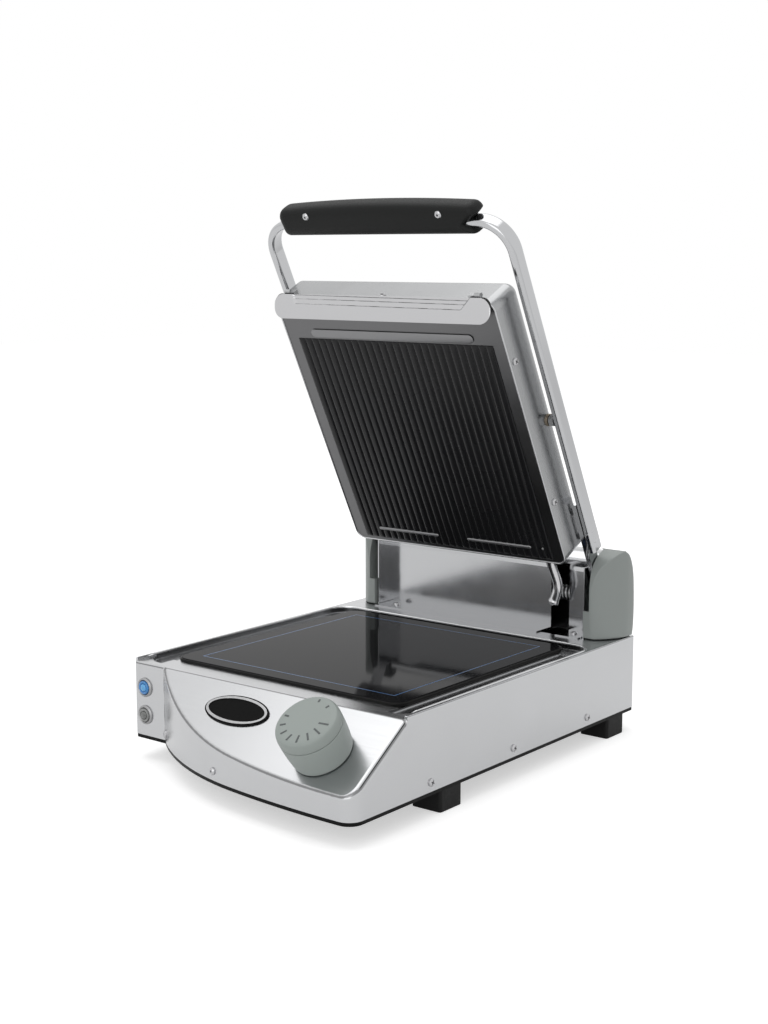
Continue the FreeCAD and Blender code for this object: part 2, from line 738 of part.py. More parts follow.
# ---------------------------------------------------------------- hinge tower and covers
def tower_profile(inset, low):
    """Side outline of the tower: upright front, round shoulder, flat top, upright back."""
    front = rear_y - tower_depth + inset
    back = rear_y - 0.5 - inset
    top = rim_z + tower_height - inset
    radius = tower_round - inset
    corner = V(0, front + radius, top - radius)
    s = math.sqrt(0.5)
    edges = [
        Part.LineSegment(V(0, front, low), V(0, front, top - radius)).toShape(),
        Part.Arc(V(0, front, top - radius), corner + V(0, -radius * s, radius * s), V(0, front + radius, top)).toShape(),
        Part.LineSegment(V(0, front + radius, top), V(0, back, top)).toShape(),
        Part.LineSegment(V(0, back, top), V(0, back, low)).toShape(),
        Part.LineSegment(V(0, back, low), V(0, front, low)).toShape(),
    ]
    return Part.Face(Part.Wire(edges))


def tower_solid(inset, half, low):
    face = tower_profile(inset, low)
    face.translate(V(-half, 0, 0))
    return face.extrude(V(2 * half, 0, 0))


def hinge_tower():
    """Polished housing of the hinge shaft, with a screwed flange in front and a slot for the plate's conduit."""
    shell = tower_solid(0, tower_half, rim_z).cut(tower_solid(sheet, tower_half - sheet, rim_z - 1))
    front = rear_y - tower_depth
    flange = block(-tower_half + 2, tower_half - 2, front - flange_depth, front + 0.5, rim_z, rim_z + sheet)
    cheeks = [block(x, x + sheet, front - cheek_depth, front + 0.5, rim_z, rim_z + cheek_height)
              for x in (-tower_half, tower_half - sheet)]
    slot_left = cable_slot_x - cable_slot_width / 2
    slot_right = cable_slot_x + cable_slot_width / 2
    slot = block(slot_left, slot_right, front - flange_depth - 1, front + 10, rim_z - 1, rim_z + cable_slot_height)
    shaft_hole = rod(shaft_radius + 1, (-tower_half - 1, hinge_y, hinge_z), (1, 0, 0), 2 * tower_half + 2)
    holes = [rod(screw_radius + screw_gap, (x, y, rim_z - 1), (0, 0, 1), 5) for x, y in tower_screw_places()]
    return fuse_all([shell, flange] + cheeks).cut([slot, shaft_hole] + holes)


def tower_screw_places():
    y = rear_y - tower_depth - flange_depth / 2 + 2
    return [(x, y) for x in tower_screw_x]


def tower_screws():
    return group([aimed(pan_head_screw(sheet - 0.1), (x, y, rim_z + sheet), (0, 0, 1))
                  for x, y in tower_screw_places()])


def cover_solid(inset, inner_x):
    """Cover outline from above crossed with its outline from the side, moved in by inset."""
    s = math.sqrt(0.5)
    outer_x = half_width - inset
    front = rear_y - cover_depth + inset
    back = rear_y - inset
    r, q = cover_plan_round - inset, cover_rear_round - inset
    plan = Part.Wire([
        Part.LineSegment(V(inner_x, back, 0), V(inner_x, front, 0)).toShape(),
        Part.LineSegment(V(inner_x, front, 0), V(outer_x - r, front, 0)).toShape(),
        Part.Arc(V(outer_x - r, front, 0), V(outer_x - r + r * s, front + r - r * s, 0),
                 V(outer_x, front + r, 0)).toShape(),
        Part.LineSegment(V(outer_x, front + r, 0), V(outer_x, back - q, 0)).toShape(),
        Part.Arc(V(outer_x, back - q, 0), V(outer_x - q + q * s, back - q + q * s, 0),
                 V(outer_x - q, back, 0)).toShape(),
        Part.LineSegment(V(outer_x - q, back, 0), V(inner_x, back, 0)).toShape(),
    ])
    upright = Part.Face(plan).extrude(V(0, 0, rim_z + cover_height + outside))
    top = rim_z + cover_height - inset
    t = cover_top_round - inset
    side = Part.Wire([
        Part.LineSegment(V(0, front, rim_z - 1), V(0, front, top - t)).toShape(),
        Part.Arc(V(0, front, top - t), V(0, front + t - t * s, top - t + t * s), V(0, front + t, top)).toShape(),
        Part.LineSegment(V(0, front + t, top), V(0, back - t, top)).toShape(),
        Part.Arc(V(0, back - t, top), V(0, back - t + t * s, top - t + t * s), V(0, back, top - t)).toShape(),
        Part.LineSegment(V(0, back, top - t), V(0, back, rim_z - 1)).toShape(),
        Part.LineSegment(V(0, back, rim_z - 1), V(0, front, rim_z - 1)).toShape(),
    ])
    across = Part.Face(side).extrude(V(half_width + outside, 0, 0))
    low = block(0, half_width + 1, front - 1, back + 1, rim_z, rim_z + cover_height + 1)
    return upright.common(across).common(low)


def hinge_cover(side):
    """Moulded cheek over the hinge, open inside, with a slot that the arm's lever swings in."""
    outer = cover_solid(0, cover_inner_x)
    room = cover_solid(cover_wall, cover_inner_x - 1)
    room = fuse_all([room, room.translated(V(0, 0, -cover_wall))])
    slot_low = rim_z + lever_slot_bottom
    slot = block(cover_inner_x - 1, lever_x + lever_thick / 2 + 0.8, rear_y - cover_depth - 1,
                 rear_y - cover_depth + 20, slot_low, rim_z + cover_height + 1)
    cover = outer.cut([room, slot])
    return cover if side > 0 else cover.mirror(V(0, 0, 0), V(1, 0, 0))


def hinge_bracket(side):
    """Steel plate inside the tower that holds the shaft's bush."""
    x0, x1 = sorted((side * bracket_x, side * (bracket_x + bracket_thick)))
    front = rear_y - tower_depth + sheet
    back = rear_y - 0.5 - sheet
    wall = block(x0, x1, front, back, rim_z, hinge_z + 22)
    foot_x0, foot_x1 = sorted((side * (bracket_x - 16), side * bracket_x))
    foot_plate = block(foot_x0, foot_x1, front, back, rim_z, rim_z + 3)
    hole = rod(bush_radius, (x0 - 1, hinge_y, hinge_z), (1, 0, 0), bracket_thick + 2)
    return fuse_all([wall, foot_plate]).cut(hole)


def hinge_bush(side):
    """Flanged bush that the shaft runs in."""
    profile = [(shaft_radius + running_gap, 0), (bush_radius, 0), (bush_radius, bracket_thick),
               (bush_flange_radius, bracket_thick), (bush_flange_radius, bracket_thick + 2),
               (shaft_radius + running_gap, bracket_thick + 2)]
    return aimed(revolved(profile), (side * bracket_x, hinge_y, hinge_z), (side, 0, 0))


def balance_spring(side):
    """Torsion spring round the shaft, its end leg on the tower's back wall."""
    turns, pitch, wire = 9, 4.2, spring_wire
    radius = shaft_radius + spring_gap + wire
    start_x = side * (bracket_x - turns * pitch - 3)
    helix = Part.makeHelix(pitch, turns * pitch, radius)
    section = Part.Wire([Part.Circle(V(radius, 0, 0), V(0, 1, 0), wire).toShape()])
    coil = Part.Wire(helix.Edges).makePipeShell([section], True, True)
    return aimed(coil, (start_x, hinge_y, hinge_z), (side, 0, 0))


# ---------------------------------------------------------------- arms, levers and grip
def arm_section(grow, centre, across, tall):
    """Round-cornered section of the arm tube, in the plane of two directions, made larger by grow."""
    a = arm_thick / 2 + grow
    b = arm_wide / 2 + grow
    r = max(a - 0.8, 0.4)
    corners = ((a, b, 0), (-a, b, 90), (-a, -b, 180), (a, -b, 270))
    edges = []
    first = None
    previous = None
    for x, y, turn in corners:
        cx, cy = x - math.copysign(r, x), y - math.copysign(r, y)
        points = []
        for part in (0, 45, 90):
            angle = math.radians(turn + part)
            points.append(centre + across * (cx + r * math.cos(angle)) + tall * (cy + r * math.sin(angle)))
        if previous is not None:
            edges.append(Part.LineSegment(previous, points[0]).toShape())
        edges.append(Part.Arc(*points).toShape())
        first = first or points[0]
        previous = points[2]
    edges.append(Part.LineSegment(previous, first).toShape())
    return Part.Wire(edges)


def arm_path():
    """Half-loop path of the tube, lid closed: arm, bend, cross bar, bend, arm."""
    z = hinge_z
    y0 = hinge_y - arm_start
    y1 = hinge_y - bar_reach
    r = arm_bend_radius
    s = math.sqrt(0.5)
    right, left = arm_x, -arm_x
    return Part.Wire([
        Part.LineSegment(V(right, y0, z), V(right, y1 + r, z)).toShape(),
        Part.Arc(V(right, y1 + r, z), V(right - r + r * s, y1 + r - r * s, z), V(right - r, y1, z)).toShape(),
        Part.LineSegment(V(right - r, y1, z), V(left + r, y1, z)).toShape(),
        Part.Arc(V(left + r, y1, z), V(left + r - r * s, y1 + r - r * s, z), V(left, y1 + r, z)).toShape(),
        Part.LineSegment(V(left, y1 + r, z), V(left, y0, z)).toShape(),
    ])


def handle_tube():
    """One flattened steel tube bent into both arms and the cross bar."""
    start = V(arm_x, hinge_y - arm_start, hinge_z)
    solids = []
    for grow in (0, -arm_wall):
        section = arm_section(grow, start, V(1, 0, 0), V(0, 0, 1))
        solids.append(arm_path().makePipeShell([section], True, True))
    holes = []
    for side in (1, -1):
        holes.append(rod(pivot_radius + 0.02, (side * (arm_x - arm_thick / 2 - 1), hinge_y - pivot_reach,
                                               hinge_z - pivot_below), (side, 0, 0), arm_wall + 1.5))
        for reach in lever_bolt_reach():
            holes.append(rod(2.5 + 0.02, (side * (arm_x - arm_thick / 2 - 1), hinge_y - reach, hinge_z), (side, 0, 0),
                             arm_wall + 1.5))
    return opened(solids[0].cut([solids[1]] + holes))


def lever_bolt_reach():
    return (arm_start + 14, lever_reach - 12)


def arm_lever(side):
    """Flat lever between the hinge shaft and the arm tube."""
    x0 = side * lever_x - lever_thick / 2
    bar = block(x0, x0 + lever_thick, hinge_y - lever_reach, hinge_y, hinge_z - lever_wide / 2, hinge_z + lever_wide / 2)
    hub = rod(lever_hub_radius - 2, (x0, hinge_y, hinge_z), (1, 0, 0), lever_thick)
    hole = rod(shaft_radius, (x0 - 1, hinge_y, hinge_z), (1, 0, 0), lever_thick + 2)
    bolts = [rod(2.5 + screw_gap, (x0 - 1, hinge_y - reach, hinge_z), (1, 0, 0), lever_thick + 2)
             for reach in lever_bolt_reach()]
    return opened(fuse_all([bar, hub]).cut([hole] + bolts))


def lever_bolts():
    bolts = []
    for side in (1, -1):
        inner = side * (lever_x - lever_thick / 2)
        outer = side * (arm_x + arm_thick / 2 - arm_wall)
        for reach in lever_bolt_reach():
            shank = rod(2.5, (inner, hinge_y - reach, hinge_z), (side, 0, 0), abs(outer - inner))
            head = rod(3.8, (inner, hinge_y - reach, hinge_z), (-side, 0, 0), 1.2)
            bolts.append(fuse_all([shank, head]))
    return bolts


def hinge_shaft():
    reach = lever_x + lever_thick / 2
    return opened(rod(shaft_radius, (-reach, hinge_y, hinge_z), (1, 0, 0), 2 * reach))


def arm_bolts():
    """Bolts of the levers: two through each into the tube, one on each end of the shaft."""
    bolts = lever_bolts()
    for side in (1, -1):
        start = side * (lever_x + lever_thick / 2)
        washer = rod(shaft_radius + 2.5, (start, hinge_y, hinge_z), (side, 0, 0), 1.5)
        head = rod(5.0, (start + side * 1.5, hinge_y, hinge_z), (side, 0, 0), 4)
        bolts.append(fuse_all([washer, head]))
    return opened(group(bolts))


def pivot_studs():
    """Side studs that carry the upper plate: end in the arm, hex collar, journal in the plate's bush."""
    studs = []
    for side in (1, -1):
        y, z = hinge_y - pivot_reach, hinge_z - pivot_below
        tip = side * (casing_half - 12)
        end = side * (arm_x + arm_thick / 2 - arm_wall)
        shank = rod(pivot_radius, (tip, y, z), (side, 0, 0), abs(end - tip))
        collar_start = side * (casing_half + 2.5)
        collar_end = side * (arm_x - arm_thick / 2)
        hexagon = [V(collar_start, y + 6.2 * math.cos(a), z + 6.2 * math.sin(a)) for a in
                   [math.radians(60 * n) for n in range(7)]]
        collar = Part.Face(Part.makePolygon(hexagon)).extrude(V(collar_end - collar_start, 0, 0))
        clip = rod(pivot_radius + 1.5, (side * (casing_half - 8), y, z), (-side, 0, 0), 1.5)
        studs.append(fuse_all([shank, collar, clip]))
    return opened(group(studs))


def grip_block(inset):
    """Grip: rounded bar with full round ends, lid closed."""
    y = hinge_y - grip_centre
    half = grip_half - inset
    wide = grip_wide / 2 - inset
    deep = grip_deep / 2 - inset
    bar = block(-half, half, y - wide, y + wide, hinge_z - deep, hinge_z + deep)
    bar = rounded_edges(bar, 10.0, lambda e: abs(e.tangentAt(e.FirstParameter).x) > 0.9)
    return rounded_edges(bar, 6.0, lambda e: abs(abs(e.BoundBox.XMin) - half) < 0.01 and e.BoundBox.XLength < 0.01)


def grip_half_shell(front):
    """Front or rear half of the grip, with a channel for the cross bar and its bends."""
    body = grip_block(0)
    channel = arm_path().makePipeShell([arm_section(0.1, V(arm_x, hinge_y - arm_start, hinge_z), V(1, 0, 0),
                                                    V(0, 0, 1))], True, True)
    y = hinge_y - grip_centre
    low, high = (hinge_z - grip_deep, hinge_z - 0.05) if front else (hinge_z + 0.05, hinge_z + grip_deep)
    keep = block(-grip_half - 1, grip_half + 1, y - grip_wide, y + grip_wide, low, high)
    tools = [channel]
    for x in (-grip_screw_x, grip_screw_x):
        tools.append(rod(screw_radius + screw_gap, (x, grip_screw_y(), hinge_z - grip_deep), (0, 0, 1), grip_deep + 9))
        tools.append(rod(screw_head_radius + 0.4, (x, grip_screw_y(), hinge_z - grip_deep), (0, 0, 1), grip_deep / 2 + 2))
    return opened(body.common(keep).cut(tools))


def grip_screw_y():
    return hinge_y - grip_centre - 6.5


def grip_screws():
    """Screws from the front half into the rear half, heads sunk in their wells."""
    seat = hinge_z - grip_deep / 2 + 2
    return opened(group([aimed(pan_head_screw(grip_deep / 2 + 5), (x, grip_screw_y(), seat), (0, 0, -1))
                         for x in (-grip_screw_x, grip_screw_x)]))


# ---------------------------------------------------------------- upper plate, modelled closed
def casing_block(inset, low, high, radius):
    y0 = hinge_y - casing_front + inset
    y1 = hinge_y - casing_rear - inset
    return plate(-casing_half + inset, casing_half - inset, y0, y1, low, high, radius)


def upper_casing():
    """Drawn steel lid of the upper plate: top and skirt, open towards the glass."""
    outer = casing_block(0, face_z, casing_top, casing_corner)
    outer = rounded_edges(outer, casing_edge_round, lambda e: e.BoundBox.ZMin > casing_top - 0.01)
    inner = casing_block(sheet, face_z - 1, casing_top - sheet, casing_corner - sheet)
    inner = rounded_edges(inner, casing_edge_round - sheet, lambda e: e.BoundBox.ZMin > casing_top - sheet - 0.01)
    holes = [aimed(rod(screw_radius + screw_gap, (0, 0, -6), (0, 0, 1), 12), *at) for at in casing_screw_places()]
    for side in (1, -1):
        holes.append(rod(plate_bush_radius, (side * (casing_half - 6), hinge_y - pivot_reach, hinge_z - pivot_below),
                         (side, 0, 0), 12))
    holes.append(rod(conduit_radius, (conduit_x, hinge_y - casing_rear - 5, hinge_z - conduit_below), (0, 1, 0), 10))
    return opened(outer.cut([inner] + holes + flap_lug_holes()))


def casing_screw_places():
    """Skirt screws: two on each side, one in front, two behind."""
    z = hinge_z - skirt_screw_below
    places = []
    for side in (1, -1):
        for reach in skirt_screw_reach:
            places.append(((side * casing_half, hinge_y - reach, z), (side, 0, 0)))
    places.append(((0, hinge_y - casing_front, z), (0, -1, 0)))
    for x in casing_rear_screw_x:
        places.append(((x, hinge_y - casing_rear, z), (0, 1, 0)))
    return places


def casing_screws():
    return opened(group([aimed(pan_head_screw(sheet + 3), *at) for at in casing_screw_places()]))


def window_tool():
    return plate(-window_half, window_half, hinge_y - window_front, hinge_y - window_rear, face_z - 1, face_z + 20,
                 window_corner)


def upper_frame():
    """Steel frame inside the skirt: flat ring under the glass and an upright flange that takes the screws."""
    gap = sheet + 0.1
    ring = casing_block(gap, face_z, face_z + frame_sheet, casing_corner - gap)
    window = window_tool()
    wall = casing_block(gap, face_z, face_z + 12, casing_corner - gap)
    wall = wall.cut(casing_block(gap + frame_sheet, face_z - 1, face_z + 13, casing_corner - gap - frame_sheet))
    holes = [aimed(rod(screw_radius + screw_gap, (0, 0, -6), (0, 0, 1), 12), *at) for at in casing_screw_places()]
    return opened(fuse_all([ring, wall]).cut([window] + holes + flap_lug_holes()))


def upper_seal():
    half = ribbed_side / 2
    middle = hinge_y - window_middle
    ring = plate(-half, half, middle - half, middle + half, glass_seat_z, upper_glass_z, 6)
    return opened(ring.cut(window_tool()))


def upper_glass():
    """Black glass with ribs that run from front to back and stand in the frame's window."""
    half = ribbed_side / 2
    middle = hinge_y - window_middle
    slab = plate(-half, half, middle - half, middle + half, upper_glass_z, upper_glass_top, 6)
    pitch = 2 * (window_half - 1) / rib_count
    y0 = hinge_y - window_front + 1
    y1 = hinge_y - window_rear - 1
    pad_z = upper_glass_z - rib_height + 1.0
    ribs = [plate(-window_half + 1, window_half - 1, y0, y1, pad_z, upper_glass_z, window_corner)]
    for index in range(rib_count):
        x = -window_half + 1 + (index + 0.5) * pitch
        low, high = pad_z - 1.0, pad_z
        section = [V(x - pitch * 0.38, y0, high), V(x - pitch * 0.24, y0, low), V(x + pitch * 0.24, y0, low),
                   V(x + pitch * 0.38, y0, high)]
        face = Part.Face(Part.makePolygon(section + section[:1]))
        ribs.append(face.extrude(V(0, y1 - y0, 0)))
    return opened(fuse_all([slab] + ribs))


def retainers():
    """Thin steel strips on the frame, along the window: one in front, two behind."""
    z0, z1 = face_z - strip_thickness, face_z
    front = hinge_y - window_front - 8
    rear = hinge_y - window_rear + 2.5
    strips = [block(-front_strip_half, front_strip_half, front - 4, front + 4, z0, z1)]
    for x in rear_strip_starts:
        strips.append(block(x, x + rear_strip_length, rear - 1.8, rear + 1.8, z0, z1))
    return opened(group(strips))


def pivot_bush(side):
    """Bush in the casing's side that turns on the stud."""
    profile = [(pivot_radius + running_gap, -6), (plate_bush_radius, -6), (plate_bush_radius, 0),
               (plate_bush_radius + 1.2, 0), (plate_bush_radius + 1.2, 1.5), (pivot_radius + running_gap, 1.5)]
    place = (side * casing_half, hinge_y - pivot_reach, hinge_z - pivot_below)
    return opened(aimed(revolved(profile), place, (side, 0, 0)))


def conduit():
    """Chromed elbow that brings the plate's wiring from the casing to the tower's slot."""
    y0 = hinge_y - casing_rear - sheet - 3
    z = hinge_z - conduit_below
    y1 = hinge_y - casing_rear + 22
    radius = conduit_bend_radius
    turn = math.radians(conduit_bend)
    bend = V(conduit_x, y1, z)
    centre = bend + V(0, 0, -radius)
    end = centre + V(0, radius * math.sin(turn), radius * math.cos(turn))
    middle = centre + V(0, radius * math.sin(turn / 2), radius * math.cos(turn / 2))
    tip = end + V(0, conduit_straight * math.cos(turn), -conduit_straight * math.sin(turn))
    path = Part.Wire([
        Part.LineSegment(V(conduit_x, y0, z), bend).toShape(),
        Part.Arc(bend, middle, end).toShape(),
        Part.LineSegment(end, tip).toShape(),
    ])
    solids = []
    for r in (conduit_radius - 0.05, conduit_radius - 1.2):
        section = Part.Wire([Part.Circle(V(conduit_x, y0, z), V(0, 1, 0), r).toShape()])
        solids.append(path.makePipeShell([section], True, True))
    nut = aimed(rod(conduit_radius + 3, (0, 0, 0), (0, 0, 1), 3.5), (conduit_x, hinge_y - casing_rear, z), (0, 1, 0))
    return opened(fuse_all([solids[0], nut]).cut(solids[1]))


# ---------------------------------------------------------------- front flap, modelled hanging with the lid open
def turned_point(reach, below):
    """Y and Z of a lid point in the open position, from its place with the lid closed."""
    a = math.radians(open_angle)
    y = hinge_y - reach * math.cos(a) - below * math.sin(a)
    z = hinge_z + reach * math.sin(a) - below * math.cos(a)
    return y, z


def flap_lug_holes():
    y, z = hinge_y - casing_front - 2, hinge_z - flap_pivot_below
    return [rod(flap_tail_radius + screw_gap, (side * flap_pin_x, y, z), (0, 1, 0), 8) for side in (1, -1)]


def front_flap():
    """Splash guard that hangs from two pins: plate with round lower corners, rolled upper edge and ears."""
    y, z = turned_point(flap_pivot_reach, flap_pivot_below)
    face_y = y - flap_ear_depth
    outline = rounded_outline(-flap_half, flap_half, z - flap_drop, z + flap_rise, 10.0, 0)
    panel = Part.Face(outline).extrude(V(0, 0, flap_sheet))
    panel.rotate(V(0, 0, 0), V(1, 0, 0), 90)
    panel.translate(V(0, face_y + flap_sheet, 0))
    parts = [panel]
    for side in (1, -1):
        x0, x1 = sorted((side * (flap_pin_x + 5.2), side * (flap_pin_x + 5.2 + flap_sheet)))
        ear = block(x0, x1, face_y, y, z - 4, z + 4)
        knuckle = rod(4, (x0, y, z), (1, 0, 0), flap_sheet)
        parts.append(fuse_all([ear, knuckle]))
    holes = [rod(flap_pin_radius + running_gap, (-flap_half, y, z), (1, 0, 0), 2 * flap_half)]
    notch = block(-flap_notch_half, flap_notch_half, face_y - 1, face_y + flap_sheet + 1, z + 1.0, z + flap_rise + 1)
    return fuse_all(parts).cut(holes + [notch])


def flap_pins():
    """Angle lugs on the casing's front, each with a pin that an ear of the flap turns on."""
    pins = []
    for side in (1, -1):
        y = hinge_y - flap_pivot_reach
        z = hinge_z - flap_pivot_below
        stem = block(-3.5, 3.5, y - 1, hinge_y - casing_front, z - flap_pin_radius, z + flap_pin_radius)
        stem.translate(V(side * flap_pin_x, 0, 0))
        tail = rod(flap_tail_radius, (side * flap_pin_x, hinge_y - casing_front, z), (0, 1, 0), 4)
        pin = rod(flap_pin_radius, (side * (flap_pin_x + 3), y, z), (side, 0, 0), 6.5)
        pins.append(fuse_all([stem, tail, pin]))
    return opened(group(pins))


# ---------------------------------------------------------------- every node
def lower_nodes():
    nodes = {
        "base_shell": base_shell(),
        "bottom_pan": bottom_pan(),
        "foot_screws": foot_screws(),
        "body_screws": group([aimed(pan_head_screw(sheet + 3), *at) for at in body_screw_places()]),
        "lower_glass": lower_glass(),
        "lower_glass_seal": lower_seal(),
        "lower_heater_tray": heater_tray(glass_middle_y, ledge_z + seal_thickness, 1, pan_z + pan_sheet),
        "lower_insulation": insulation(glass_middle_y, ledge_z + seal_thickness, 1),
        "lower_heating_coil": heating_coil(glass_middle_y, ledge_z + seal_thickness, 1),
        "lower_probe": probe(glass_middle_y, ledge_z + seal_thickness, 1),
        "lamp_holders": group([lamp_holder(height) for height in lamp_heights]),
        "thermostat_body": thermostat_body(),
        "badge_plate": badge_plate(),
        "badge_ring": badge_ring(),
        "terminal_block": terminal_block(),
        "cable_gland": cable_gland(),
        "gland_nut": gland_nut(),
        "hinge_tower": hinge_tower(),
        "tower_screws": tower_screws(),
        "hinge_bushes": group(both_sides(hinge_bush)),
    }
    for name, place in foot_places().items():
        nodes[name] = foot(*place)
    for name, height in zip(("power_lamp", "heating_lamp"), lamp_heights):
        nodes[name + "_bezel"] = lamp_bezel(height)
        nodes[name + "_lens"] = lamp_lens(height)
    for name, side in (("right", 1), ("left", -1)):
        nodes["hinge_cover_" + name] = hinge_cover(side)
        nodes["hinge_bracket_" + name] = hinge_bracket(side)
        nodes["balance_spring_" + name] = balance_spring(side)
    return nodes


def knob_nodes():
    return {"knob_body": knob_body(), "knob_cap": knob_cap(), "thermostat_shaft": thermostat_shaft()}


def arm_nodes():
    nodes = {
        "handle_tube": handle_tube(),
        "grip_front": grip_half_shell(True),
        "grip_rear": grip_half_shell(False),
        "grip_screws": grip_screws(),
        "hinge_shaft": hinge_shaft(),
        "arm_bolts": arm_bolts(),
        "pivot_studs": pivot_studs(),
    }
    for name, side in (("right", 1), ("left", -1)):
        nodes["arm_lever_" + name] = arm_lever(side)
    return nodes


def plate_nodes():
    middle = hinge_y - window_middle
    nodes = {
        "upper_casing": upper_casing(),
        "casing_screws": casing_screws(),
        "upper_frame": upper_frame(),
        "upper_glass_seal": upper_seal(),
        "upper_glass": upper_glass(),
        "glass_retainers": retainers(),
        "upper_heater_tray": opened(heater_tray(middle, upper_glass_top, -1, casing_top - sheet)),
        "upper_insulation": opened(insulation(middle, upper_glass_top, -1)),
        "upper_heating_coil": opened(heating_coil(middle, upper_glass_top, -1)),
        "upper_probe": opened(probe(middle, upper_glass_top, -1)),
        "conduit_elbow": conduit(),
        "flap_pins": flap_pins(),
        "pivot_bushes": group(both_sides(pivot_bush)),
    }
    return nodes


def main():
    nodes = {}
    for part in (lower_nodes(), knob_nodes(), arm_nodes(), plate_nodes(), {"front_flap": front_flap()}):
        nodes.update(part)
    for name, shape in nodes.items():
        shape.exportStep("parts/" + name + ".step")
        print(name, len(shape.Solids), shape.isValid(), round(shape.Volume / 1000, 2))
    print(len(nodes), "nodes")


main()
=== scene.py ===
"""Looks of a countertop panini press, laid over its packed frame.

Metres, +X to the right of someone facing the press, +Y to the back, +Z up. Shapes are worked out in
millimetres and scaled by MM where they enter a mesh.
"""

import math

import bmesh
import bpy
import numpy as np
from bpy.props import FloatProperty, FloatVectorProperty, IntProperty, PointerProperty
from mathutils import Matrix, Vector


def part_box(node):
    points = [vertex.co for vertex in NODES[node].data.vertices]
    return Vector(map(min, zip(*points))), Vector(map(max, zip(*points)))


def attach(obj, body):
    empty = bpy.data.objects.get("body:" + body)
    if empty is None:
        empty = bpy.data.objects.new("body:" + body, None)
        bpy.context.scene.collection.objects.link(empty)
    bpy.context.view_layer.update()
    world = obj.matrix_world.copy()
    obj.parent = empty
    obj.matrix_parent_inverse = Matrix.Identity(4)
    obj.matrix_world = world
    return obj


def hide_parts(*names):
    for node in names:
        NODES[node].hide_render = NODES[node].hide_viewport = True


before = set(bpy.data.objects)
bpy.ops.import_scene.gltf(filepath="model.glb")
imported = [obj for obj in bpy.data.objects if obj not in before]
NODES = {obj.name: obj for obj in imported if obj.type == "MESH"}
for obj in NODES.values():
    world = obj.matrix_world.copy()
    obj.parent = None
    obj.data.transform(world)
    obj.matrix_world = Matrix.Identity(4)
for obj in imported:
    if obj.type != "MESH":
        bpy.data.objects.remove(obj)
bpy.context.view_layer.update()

bl_info = {
    "name": "Panini Press Looks",
    "version": (1, 0, 0),
    "blender": (4, 5, 0),
    "location": "3D View > Sidebar > Press",
    "description": "Finishes, printed marks and studio for a panini press",
    "category": "Object",
}

MM = 0.001
LID_OPEN = math.radians(63)           # the open lid, from level
PANEL_SLOPE = math.radians(34.5)      # the control panel, from level
PANEL_BACK = 73.5                     # from the nose back to the panel's top edge
PANEL_TOP = 71.5                      # from the foot of the body up to that edge
DIAL_X, DIAL_DOWN = 108.5, 50.5       # the dial's middle: across, and down the slope
DIAL_FACE = 39.0                      # height of the dial's face over the slope
COLOUR = {"subtype": "COLOR", "min": 0, "max": 1}


# ---------------------------------------------------------------- settings
class PressSteelSettings(bpy.types.PropertyGroup):
    """Colours and grain of the steel pieces."""

    body_colour: FloatVectorProperty(
        name="Body steel", description="Colour of the satin body sheet",
        default=(0.54, 0.545, 0.555), **COLOUR)
    body_roughness: FloatProperty(
        name="Body roughness", description="Blur of the satin body's reflections",
        default=0.24, min=0, max=1)
    polished_colour: FloatVectorProperty(
        name="Polished steel", description="Colour of the arms", default=(0.52, 0.525, 0.535), **COLOUR)
    polished_roughness: FloatProperty(
        name="Polished roughness", description="Blur of the arms' reflections", default=0.12, min=0, max=1)
    grain_depth: FloatProperty(
        name="Grain depth", description="Strength of the brushed grain", default=0.006, min=0, max=1)
    casing_colour: FloatVectorProperty(
        name="Casing steel", description="Colour of the upper plate's casing",
        default=(0.37, 0.375, 0.38), **COLOUR)
    tower_colour: FloatVectorProperty(
        name="Tower steel", description="Colour of the tower behind the plates",
        default=(0.50, 0.505, 0.515), **COLOUR)
    frame_colour: FloatVectorProperty(
        name="Plate frame", description="Colour of the frame round the ribbed glass",
        default=(0.16, 0.16, 0.163), **COLOUR)
    flap_colour: FloatVectorProperty(
        name="Flap steel", description="Colour of the front flap", default=(0.57, 0.57, 0.58), **COLOUR)
    edge_colour: FloatVectorProperty(
        name="Gutter edge", description="Colour of the rolled edge of the drip gutter",
        default=(0.66, 0.665, 0.675), **COLOUR)
    bezel_colour: FloatVectorProperty(
        name="Lamp bezels", description="Colour of the rings round the pilot lamps",
        default=(0.36, 0.36, 0.365), **COLOUR)
    retainer_colour: FloatVectorProperty(
        name="Retainers", description="Colour of the bars over the ribbed glass",
        default=(0.25, 0.25, 0.255), **COLOUR)
    chrome_colour: FloatVectorProperty(
        name="Chrome", description="Colour of the conduit and probes", default=(0.58, 0.58, 0.59), **COLOUR)


